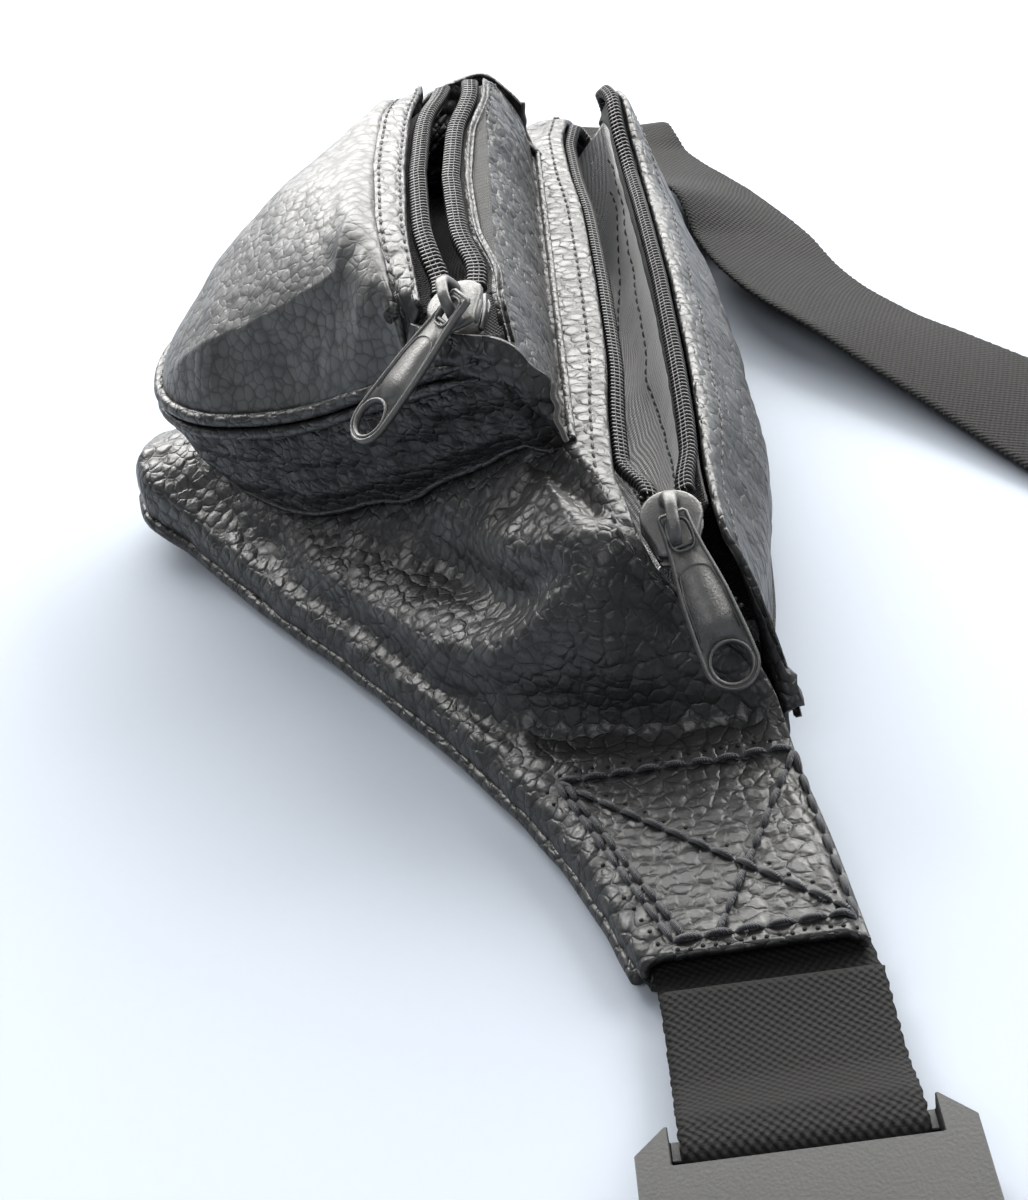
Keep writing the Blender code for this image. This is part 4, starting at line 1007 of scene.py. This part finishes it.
back_rows = []
for x in np.linspace(-80.4, 80.4, 240):
    lip = pocket_back_lip(x)
    lip[1] = min(smooth(COIL_BOW_BACK, abs(x)) + 3.4, lip[1]) + 0.1 * max(0, abs(x) - 66)
    foot = front_point(x, POCKET_TOP_Y, 0.2)
    row = [lip + (0, 0.4, -1.8), lip + (0, -0.1, -0.7), lip + (0, 0.2, 0.1)]
    for t in (0.08, 0.22, 0.42, 0.62, 0.82, 0.96):
        row.append(lip + (foot - lip) * t + np.array((0, 1, 0.5)) * 1.9 * math.sin(math.pi * t))
    row += [foot + (0, 0.6, 0.3), foot + (0, 1.8, 0.1)]
    back_rows.append(through(row, 48))
REAR = np.array(back_rows)
weight = end_fade(48, 8, 6)
pleats = 0.7 * rough(REAR, 9, 2.9, (1, 1, 0.45)) + 0.4 * rough(REAR, 4.5, 7.3, (1, 1, 0.5))
pleats += 0.12 * rough(REAR, 3, 1.1)
REAR = REAR - grid_normals(REAR) * (pleats * weight)[..., None]
shell("pocket_back_leather", REAR, -1.4, LEATHER_REAR, replaces="pocket_top_gusset")
fold_line = [front_point(x, 22, 0.55) for x in np.linspace(-80, 80, 200)]
tube("pocket_back_fold", fold_line, ring(0.8, 8, 0.8), (0, 0, 1), LEATHER, slot="pocket_top_gusset")

CORNER_LOW = [(66.8, -9, 63), (73.4, -0.4, 66.6), (79, 7, 67), (82.2, 14.6, 62), (82.4, 20.6, 54)]
CORNER_TOP = [(65.4, -7.4, 76.6), (71.6, -3, 77.4), (77.2, 4, 77.8), (81.4, 12, 76.6), (82.2, 20, 67)]
for label, sign in (("near", 1), ("far", -1)):
    low = by_index([(sign * p[0], p[1], p[2]) for p in CORNER_LOW], 60)
    top = by_index([(sign * p[0], p[1], p[2]) for p in CORNER_TOP], 60)
    across = np.linspace(0, 1, 40)[None, :, None]
    grid = low[:, None] + (top - low)[:, None] * across
    bulge = unit((sign * 1, -0.8, 0))
    arch = np.sin(math.pi * across[..., 0])
    lift = 1.4 * arch + 1.1 * rough(grid, 6.5, 5, (1, 1, 1.8)) * (0.3 + arch)
    lift = lift + 0.4 * rough(grid, 3, 2)
    grid = grid + bulge * lift[..., None]
    shell("corner_fold_" + label, grid, -1.1 * sign, LEATHER_STRIP, replaces="pocket_corner_" + label)
    rim = grid[-1] + (sign * 0.1, 0.3, 0)
    # The corner's raw edge: suede tone with a painted highlight.
    tube("corner_edge_" + label, rim, ring(0.62, 7), (0, 1, 0.2), SUEDE_HIGHLIGHT, slot="pocket_corner_" + label)


rows = []
for x in np.linspace(-70, 64, 90):
    lip, end = pocket_lip(x), pocket_back_lip(x)
    end[1] = min(smooth(COIL_BOW_BACK, abs(x)) + 3.4, end[1]) - 0.6
    fade = 1 - 0.75 * (abs(x) / 76) ** 2
    ground = front_point(x, 2, 2)[2]
    points = [(x, lip[1] + smooth(TAPE_REACH, abs(x)) + 1, lip[2] - 5.2), (x, lip[1] - 6 * fade, lip[2] - 11),
              (x, lip[1] - 20 * fade * fade, lip[2] * 0.66),
              (x, lip[1] - 14 * fade * fade, ground - 1 + 9 * (1 - fade)),
              (x, 3, ground + 4), (x, 9, ground + 6), (x, (11.0 + end[1]) / 2, (ground + end[2]) / 2),
              (x, end[1], end[2] - 6.5)]
    rows.append(through(points, 60))
trough = np.array(rows)
trough = trough + grid_normals(trough) * (0.6 * rough(trough, 12, 8))[..., None]
# The pocket lining wears the near-black lining copy: painted shade inside the pocket.
shell("pocket_lining_trough", closed_ends(trough), -0.6, LINING_SHADED, held="hung",
      rests_on=["pocket_tape_front", "pocket_tape_back"], replaces="pocket_lining")


# ------------------------------------------------------------ sliders and pulls
PIN_HEIGHT = 3.6
CROWN_BACK = 1.0
TAB_LENGTH = 35.0
TAB_HALF = 5.4
EYE_HALF = 2.1
HOLE_RADIUS = 3.8


def slider_frame(centre, up):
    """Centre, nose, side and up directions of a slider whose nose points along -X."""
    up = unit(up)
    nose = unit(np.array((-1, 0, 0)) - up * np.dot((-1, 0, 0), up))
    return np.array(centre, float), nose, np.cross(up, nose), up


def placed(points, axes):
    centre, a, b, c = axes
    points = np.array(points, float)
    return centre + points[..., :1] * a + points[..., 1:2] * b + points[..., 2:3] * c


def plate_parts(outline, levels, axes):
    """A closed plate from one outline, given as (scale, height) levels from its under face to its top."""
    outline = np.array(outline, float)
    middle = outline.mean(0)
    count = len(outline)
    verts = [np.append(middle + (p - middle) * s, h) for s, h in levels for p in outline]
    faces = loop_faces(len(levels), count)
    faces += [tuple(range(count - 1, -1, -1)), tuple(range((len(levels) - 1) * count, len(levels) * count))]
    return placed(verts, axes), faces


def block_parts(low, high, axes, edge=0.3):
    """A small block with chamfered upright edges and softened faces."""
    (x0, y0, z0), (x1, y1, z1) = low, high
    outline = [(x0 + edge, y0), (x1 - edge, y0), (x1, y0 + edge), (x1, y1 - edge), (x1 - edge, y1), (x0 + edge, y1),
               (x0, y1 - edge), (x0, y0 + edge)]
    levels = [(0.93, z0), (1, z0 + edge), (1, z1 - edge), (0.93, z1)]
    return plate_parts(outline, levels, axes)


def slider(name, axes, body, node_name):
    """Slider: a domed shield-shaped top plate, flanges, a matching lower plate and the neck between them."""
    nose = [(1.6 + 5.4 * math.cos(a), 6.1 * math.sin(a)) for a in spread(-1.75, 1.75, 21)]
    tail = [(-2.2, 4.9), (-4.8, 3.9), (-6.4, 3.5), (-7, 2.9)]
    outline = nose + tail + [(x, -y) for x, y in reversed(tail)]
    half = SLIDER_HEIGHT / 2
    top = [(0.97, half - 1.2), (1, half - 1), (1, half - 0.35), (0.97, half - 0.05), (0.9, half + 0.12),
           (0.7, half + 0.22), (0.4, half + 0.25), (0.1, half + 0.25)]
    under = [(0.9, -half), (0.98, -half + 0.15), (1, -half + 0.5), (1, -half + 0.9), (0.96, -half + 1.05)]
    parts = [plate_parts(outline, top, axes), plate_parts(outline, under, axes)]
    for s in (1, -1):
        wing = [(3.6, s * 5.35), (3.6, s * 6), (-1.2, s * 5.3), (-6.2, s * 3.6), (-6.2, s * 2.95), (-1.2, s * 4.65)]
        if s > 0:
            wing = wing[::-1]
        parts.append(plate_parts(wing, [(0.98, 0.55), (1, 0.7), (1, half - 0.7)], axes))
        parts.append(plate_parts(wing, [(1, -half + 0.7), (1, -0.7), (0.98, -0.55)], axes))
    parts.append(block_parts((3.4, -0.9, -half + 0.6), (6.2, 0.9, half - 0.6), axes))
    return several(name, parts, METAL, body=body, replaces=node_name)


def crown(name, axes, body, node_name):
    """Crown: a fin that rises from the nose, arches over the pull's bar and comes down at the tail."""
    centre, nose, side, up = axes
    centre = centre - nose * CROWN_BACK
    base = SLIDER_HEIGHT / 2
    line = [(5.4, -0.2, 2.1, 1.7), (5, 1.6, 1.9, 1.6), (4.2, 3.4, 1.6, 1.3), (2.8, 4.9, 1.35, 0.95),
            (0.9, 5.6, 1.2, 0.7), (-1.6, 5.6, 1.15, 0.62), (-3.5, 4.9, 1.15, 0.6), (-4.6, 3.4, 1.15, 0.6),
            (-4.9, 1.6, 1.3, 0.65), (-4.9, -0.2, 1.7, 0.8)]
    run = through([(along, 0, base + above, wide, thick) for along, above, wide, thick in line], 48)
    path = centre + run[:, :1] * nose + run[:, 2:3] * up
    square = [(a, 1 + 0.1 * abs(math.sin(2 * a))) for a in turns(16)]
    profile = [[(h * math.cos(a) * k, t * math.sin(a) * k) for a, k in square] for h, t in run[:, 3:]]
    verts, faces = tube_parts(path, profile, np.cross(side, np.gradient(path, axis=0)))
    return piece(name, verts, faces, METAL, body=body, replaces=node_name)


def pull(name, axes, direction, body, node_name, behind=0, height=PIN_HEIGHT, past_leg=0):
    """Pull tab: a plate with an eye, a finger hole, a raised rim and a sunk panel with an arched end."""
    centre, nose, side, up = axes
    along = unit(direction)
    pivot = centre + up * (SLIDER_HEIGHT / 2 + height) - nose * (CROWN_BACK + behind) - along * past_leg
    face = unit(up - along * np.dot(up, along))
    across = np.cross(face, along)
    axes = (pivot, along, across, face)
    reach = TAB_LENGTH - TAB_HALF
    half = [(-0.95, EYE_HALF + 0.2), (-0.2, EYE_HALF + 1), (3.5, EYE_HALF + 1.1), (7.4, EYE_HALF + 1.5), (12, 4.3),
            (16, TAB_HALF - 0.6), (20, TAB_HALF - 0.35), (reach - 4, TAB_HALF - 0.05)]
    end = [(reach + TAB_HALF * math.sin(a), TAB_HALF * math.cos(a)) for a in spread(0, math.pi, 17)]
    outline = half + end + [(p[0], -p[1]) for p in reversed(half)]
    eye = [(math.cos(a), math.sin(a)) for a in turns(20)]
    eye = [(3.7 + 2.85 * np.sign(c) * abs(c) ** 0.6, EYE_HALF * np.sign(s) * abs(s) ** 0.6) for c, s in eye]
    hole = [(reach + HOLE_RADIUS * math.cos(a), HOLE_RADIUS * math.sin(a)) for a in turns(28)]
    bm = bmesh.new()
    edges = []
    for loop in (outline, eye, hole):
        made = [bm.verts.new((p[0], p[1], 0)) for p in loop]
        edges += [bm.edges.new((a, b)) for a, b in zip(made, made[1:] + made[:1])]
    bmesh.ops.triangle_fill(bm, use_beauty=True, use_dissolve=False, edges=edges)
    index = {v: i for i, v in enumerate(bm.verts)}
    flat = np.array([v.co for v in bm.verts])
    count = len(flat)
    faces = [tuple(index[v] for v in f.verts) for f in bm.faces]
    under = [tuple(i + count for i in reversed(f)) for f in faces]
    sizes = (len(outline), len(eye), len(hole))
    walls, first = [], 0
    for size in sizes:
        for j in range(size):
            k = (j + 1) % size
            walls.append((first + j, first + k, count + first + k, count + first + j))
        first += size
    bm.free()
    over = flat + (0, 0, 0.5)
    below = flat - (0, 0, 0.55)
    parts = [(placed(np.concatenate([over, below]), axes), faces + under + walls)]
    for loop, inset, size in ((outline, 0.42, 0.42), (eye, -0.3, 0.34), (hole, -0.36, 0.42)):
        loop = np.array(loop, float)
        middle = loop.mean(0)
        if inset > 0:
            track = np.gradient(np.concatenate([loop[-1:], loop, loop[:1]]), axis=0)[1:-1]
            inward = unit(np.stack([track[:, 1], -track[:, 0]], -1))
            inward = np.where((((middle - loop) * inward).sum(1) < 0)[:, None], -inward, inward)
            loop = loop + inward * inset
        else:
            loop = loop + unit(loop - middle) * -inset
        track = placed(np.concatenate([loop, np.full((len(loop), 1), 0)], 1), axes)
        parts.append(tube_parts(track, [(size * math.cos(a), 0.85 * math.sin(a)) for a in
                                        turns(10)], face, closed=True))
    arc = [(11.0 - 2.4 * math.cos(a) + 1.4, 3.3 * math.sin(a)) for a in spread(-1.35, 1.35, 15)]
    arc = [(reach - 5.6, -4.2)] + [(15.5, -3.9)] + arc + [(15.5, 3.9)] + [(reach - 5.6, 4.2)]
    sunk = placed([(p[0], p[1], 0.5) for p in arc], axes)
    parts.append(tube_parts(sunk, ring(0.2, 6), face))
    bar = placed([(3.9, y, 0.1) for y in (-EYE_HALF - 0.4, -1, 0, 1, EYE_HALF + 0.4)], axes) + along * 1.9
    parts.append(tube_parts(bar, ring(0.45, 8), face))
    return several(name, parts, METAL, body=body, replaces=node_name)


MAIN_AXES = slider_frame(MAIN_SLIDER, (0.50, 0, 0.866))
POCKET_AXES = slider_frame(POCKET_SLIDER, (0.22, -0.30, 0.93))
slider("main_slider_body", MAIN_AXES, "main_slider", "main_slider")
crown("main_slider_fin", MAIN_AXES, "main_slider", "main_slider_crown")
pull("main_pull", MAIN_AXES, (0.62, 0.235, -0.748), "main_pull", "main_pull_tab")
slider("pocket_slider_body", POCKET_AXES, "pocket_slider", "pocket_slider")
crown("pocket_slider_fin", POCKET_AXES, "pocket_slider", "pocket_slider_crown")
pull("pocket_pull", POCKET_AXES, (0.32, -0.70, -0.62), "pocket_pull", "pocket_pull_tab", 4.85, 3, 3.3)


# ----------------------------------------------------- zip and tape ends, near side
def hairs(name, centre, along, out, count, length, material, **more):
    """Loose threads where a tape was cut off."""
    parts = []
    for k in range(count):
        t = k / (count - 1) - 0.5
        root = np.array(centre) + np.array(along) * t
        way = unit(np.array(out) + 0.45 * np.array([noise.noise(Vector((k * 1.7, j * 5.3, 2))) for j in range(3)]))
        size = length * (0.55 + 0.45 * abs(noise.noise(Vector((k * 0.9, 3, 1)))) * 2)
        sag = np.array((0, 0, -1)) * size * 0.25
        path = [root - way * 1.2, root, root + way * size * 0.5, root + way * size + sag]
        parts.append(tube_parts(through(path, 7), ring(0.16, 5), np.cross(way, (0.3, 0.2, 1))))
    return several(name, parts, material, **more)


CLOSED_PATH = [(117.6, 41.6, 40.4), (118.6, 44.4, 36.8), (119.6, 46.8, 33.8), (120.6, 48.8, 31)]
closed_run = through(CLOSED_PATH, 60)
coil("closed_zip_end", closed_run, (0.8, -0.35, 0.5), "main_zip_closed_end", width=2.7, height=0.95)
hairs("tape_end_threads", (121.4, 49.6, 29.4), (1.2, -4.6, 1), (0.5, 0.2, -0.8), 34, 2.8, TAPE,
      slot="main_zip_closed_end")
tape_face = np.array([[p + (-0.7 + 0.6 * k, 1.0 + 0.6 * k, -1.2 - 0.4 * k) for k in range(4)] for p in closed_run])
shell("closed_zip_tape", tape_face, 0.5, TAPE, slot="main_zip_closed_end")
patch = np.array([[(62.0 + 14.5 * u, 7.2 + 4.4 * v, 79.4 - 3.6 * u ** 1.6 - 0.5 * v) for v in np.linspace(0, 1, 12)]
                  for u in np.linspace(0, 1, 40)])
patch = patch + (0.35 * rough(patch, 4, 3.7))[..., None] * (0, 0, 1)
shell("pocket_tape_end", patch, -0.7, TAPE, slot="pocket_tape_back")
hairs("pocket_tape_threads", (76.3, 9.4, 75.6), (0.4, 4.4, -0.4), (0.8, 0.1, -0.4), 22, 2.2, TAPE,
      slot="pocket_tape_back")


# ------------------------------------------------------------------- stitching
def seam_stitches(name, path, normals, gap, radius, slot="main_front_panel"):
    return several(name, stitch_parts(path, normals, 3, gap, radius), THREAD, slot=slot)


def box_line(a, b):
    run = np.linspace(a, b, 120)
    return np.array([front_point(p[0], p[1], 0.25) for p in run])


A, B, C, D, E = (138.2, 9.8), (138.2, 55.4), (181.8, 59.4), (183, 27.4), (183, 35.2)
parts = []
for start, end in ((A, B), (B, C), (C, D), (D, A), (A, C), (B, E), ((139.2, 11.6), (182.6, 29.6))):
    line = box_line(start, end)
    line = line + (0.22 * rough(line, 5, 4.4))[:, None] * (0.7, 0.7, 0)
    parts += stitch_parts(line + (0, 0, 0.15), (0, 0, 1), 4.9, 0.05, 0.66, 0)
several("box_stitches", parts, THREAD_NAVY, slot="main_front_panel")
# Near-black dots beside the box stitches stand for needle holes: painted shade.
dots = []
for start, end in ((A, B), (B, C), (C, D), (D, A), (A, C)):
    run = np.array(start)[None] + (np.array(end) - start)[None] * np.linspace(0.02, 0.98, 15)[:, None]
    for k, p in enumerate(run):
        shift = 2.3 + 0.9 * noise.noise(Vector((k * 2.3, p[0], p[1])))
        way = unit(np.array((-(end[1] - start[1]), end[0] - start[0])))
        spot = front_point(p[0] + way[0] * shift, p[1] + way[1] * shift, 0.02)
        if bottom_edge(spot[0]) + 2 < spot[1] < top_edge(spot[0]) - 2:
            dots.append(tube_parts([spot - (0, 0, 0.8), spot, spot + (0, 0, 0.12)], ring(0.42, 7), (0, 1, 0)))
several("needle_holes", dots, HOLE_SHADE, slot="main_front_panel")


def row_line(grid, index, lift):
    """A line along one column of a grid of outer points, lifted off it, and the directions out of the leather."""
    normal = grid_normals(grid)[:, index]
    return grid[:, index] + normal * lift, normal


zip_edge = np.array([front_point(x, front_lip(x)[1] - 3.2, 0.12) for x in np.linspace(-118, 132, 460)])
seam_stitches("zip_edge_stitches", zip_edge, (0, -0.25, 1), 0.8, 0.34)
line, normal = row_line(BACK, 52, 0.05)
seam_stitches("back_edge_stitches", line, normal, 0.8, 0.34, slot="top_gusset_back")
for index, label in ((9, "outer"), (24, "inner")):
    line, normal = row_line(STRIP, index, -0.1)
    seam_stitches("strip_stitches_" + label, line, -normal, 0.9, 0.33, slot="pocket_zip_strip")
line, normal = row_line(REAR, 7, -0.1)
seam_stitches("rear_lip_stitches", line, -normal, 0.9, 0.3, slot="pocket_top_gusset")


# -------------------------------------------------------------------- webbing
BELT_ROOT = [(143, 35.8, 3.5), (156, 38, 3.5), (170, 40.2, 3.5), (184, 42.2, 3.5)]
LONG_RUN = [(72, 162), (104, 172.2), (138, 179.6), (172, 183.8), (206, 185), (232, 185)]
FAR_PATH = [(-x, y, z) for x, y, z in BELT_ROOT]
FAR_PATH += [(-194, 43, 3.6), (-201, 43.3, 3.9), (-206, 43.8, 5.4), (-208, 44.4, 7.6), (-206.4, 45.2, 9.8),
             (-201.4, 46.2, 11), (-194, 47.4, 11.4), (-186, 49, 11.6), (-177, 51.6, 11.8), (-165, 55.8, 12),
             (-150, 62.2, 12.6), (-139, 69, 12.8), (-129.5, 74.4, 12), (-118, 78.4, 9.6), (-106, 81, 7.4),
             (-88, 84.8, 6.6), (-69.5, 90.4, 6.6), (-48.5, 100.4, 6.2), (-28, 112, 5.2), (-8, 123.4, 4.2),
             (16, 136, 3), (42, 149.4, 2.2)]
FAR_PATH += [p + (2,) for p in LONG_RUN]
FAR_PATH += [(246, 185, 2), (252.6, 185, 2.05), (256.6, 185, 3.1), (258.3, 185, 5.4), (258.5, 185, 7.4),
             (257.6, 185, 9.6), (254.5, 185, 10.3), (251.3, 185, 9.6), (250.5, 185, 7.4), (249.9, 185, 5.2),
             (247.6, 185, 4.2), (243, 185, 4.1)]
FAR_PATH += [p + (4.1,) for p in reversed(LONG_RUN)] + [(46, 151.2, 4.4)]
LEAN_UP = [(0.13, -0.22, -0.97), (0.12, -0.24, -0.96), (0.1, -0.28, -0.95), (0.1, -0.38, -0.92), (0.1, -0.44, -0.89),
           (0.09, -0.37, -0.92)]
FAR_UP = [(0, 0, 1)] * 4 + [(0.1, 0, 1), (0.4, 0, 0.9), (0.85, 0, 0.5), (1, 0, 0.05), (0.85, 0, -0.5),
                            (0.4, 0, -0.9), (0.1, -0.05, -1), (0.08, -0.12, -0.98)]
FAR_UP += LEAN_UP + [(0.07, -0.28, -0.955)] * 4
FAR_UP += [(0.1, -0.17, -0.98), (0.06, -0.1, -0.99), (0.02, -0.04, -1)] + [(0, 0, -1)] * 8
FAR_UP += [(0.1, 0, -1), (0.6, 0, -0.8), (0.97, 0, -0.2), (1, 0, 0.1), (0.6, 0, 0.8), (0, 0, 1), (-0.6, 0, 0.8),
           (-1, 0, 0.1), (-0.8, 0, 0.5), (-0.3, 0, 0.95)] + [(0, 0, 1)] * 8
NEAR_LOOP = [(194, 3.4), (206, 2.7), (218, 2), (225, 1.95), (229.4, 2.3), (231.4, 3.6), (231.8, 6.2), (231.4, 8.9),
             (229.2, 10.2), (225, 10.1), (219, 7.8), (212, 5.6), (203, 5.2), (192, 5.6)]
NEAR_PATH = BELT_ROOT + [(x, 43, z) for x, z in NEAR_LOOP]
NEAR_UP = [(0, 0, 1)] * 8 + [(-0.35, 0, 0.94), (-0.8, 0, 0.6), (-1, 0, 0), (-0.8, 0, -0.6), (-0.2, 0, -1),
                             (0.3, 0, -0.95), (0.3, 0, -0.95), (0.15, 0, -1), (0, 0, -1), (0, 0, -1)]


def belt(name, path, ups, node_name, step=1.3):
    """Belt webbing: a flat woven strip with rounded, slightly scalloped edges."""
    row = np.concatenate([np.array(path, float), unit(np.array(ups, float))], 1)
    rough_run = through(row, 400)
    length = np.linalg.norm(np.diff(rough_run[:, :3], axis=0), axis=1).sum()
    run = through(row, int(length / step))
    s = np.linspace(0, length, len(run))
    half = BELT_HALF + 0.22 * np.sin(2 * math.pi * s / 3.2)
    face = 30
    across = np.concatenate([np.linspace(-1, 1, face), np.linspace(1, -1, face)])
    side_of = np.repeat([-1, 1], face)
    thick = 0.9 * np.clip((1.0 - np.abs(across)) * 14, 0.25, 1) ** 0.6
    profile = np.stack([half[:, None] * across[None, :], np.repeat((side_of * thick)[None], len(run), 0)], -1)
    verts, faces = tube_parts(run[:, :3], profile, run[:, 3:])
    made = piece(name, verts, faces, WEBBING, replaces=node_name,
                 values={"along": np.repeat(s, 2 * face), "across": np.tile(across * BELT_HALF, len(run))})
    width = 2 * BELT_HALF * MM
    solid_cut(node_name) / width


belt("far_belt", FAR_PATH, FAR_UP, "far_webbing")
belt("near_belt", NEAR_PATH, NEAR_UP, "near_webbing")


# ----------------------------------------------------- what stays from the frame
for label in ("buckle_socket", "buckle_clip", "clip_centre_guide", "clip_prong_left", "clip_prong_right",
              "strap_keeper"):
    NODES[label].data.materials.clear()
    NODES[label].data.materials.append(PLASTIC)

# ------------------------------------------------------------ floor and lights
FLOOR_HALF = 9
FLOOR_Z = -0.0002
# Each light: name, place, what it looks at, size, power and colour.
LIGHTS = [
    ("light_behind", (-1.35, 0.05, 0.95), (0, 0, 0.03), (2.4, 1.3), 104, (1, 0.99, 0.965)),
    ("light_left", (-1.05, -1, 1.05), (0, 0, 0.03), (1.1, 0.8), 20, (1, 0.99, 0.97)),
    ("light_right", (-0.5, 1.3, 1), (0, 0, 0.03), (1.3, 0.9), 34, (1, 0.99, 0.97)),
    ("light_near", (1.2, -0.4, 1.3), (0.1, 0, 0), (1, 0.6), 9, (1, 1, 1)),
]
SKY = (0.80, 0.87, 0.95, 1)
SKY_STRENGTH = 0.22
material, tree, shader, place = start_material("floor_paper", Roughness=0.9)
grain = clouds(tree, place, 0.4, 3)
link(tree, mix(tree, grain, (0.370, 0.405, 0.460, 1), (0.380, 0.415, 0.470, 1)), shader.inputs["Base Color"])
mesh = bpy.data.meshes.new("floor")
corners = [(x * FLOOR_HALF, y * FLOOR_HALF, FLOOR_Z) for x, y in ((-1, -1), (1, -1), (1, 1), (-1, 1))]
mesh.from_pydata(corners, [], [(0, 1, 2, 3)])
mesh.materials.append(material)
floor = bpy.data.objects.new("floor", mesh)
bpy.context.scene.collection.objects.link(floor)
floor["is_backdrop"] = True

for name, at, aim, size, power, colour in LIGHTS:
    light = bpy.data.lights.new(name, "AREA")
    light.shape = "RECTANGLE"
    light.size, light.size_y = size
    light.energy = power
    light.color = colour
    made = bpy.data.objects.new(name, light)
    made.location = at
    made.rotation_euler = (Vector(aim) - Vector(at)).to_track_quat("-Z", "Y").to_euler()
    bpy.context.scene.collection.objects.link(made)

world = bpy.data.worlds.new("studio")
world.use_nodes = True
world.node_tree.nodes["Background"].inputs["Color"].default_value = SKY
world.node_tree.nodes["Background"].inputs["Strength"].default_value = SKY_STRENGTH
bpy.context.scene.world = world
bpy.context.scene.view_settings.view_transform = "Standard"

low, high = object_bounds()
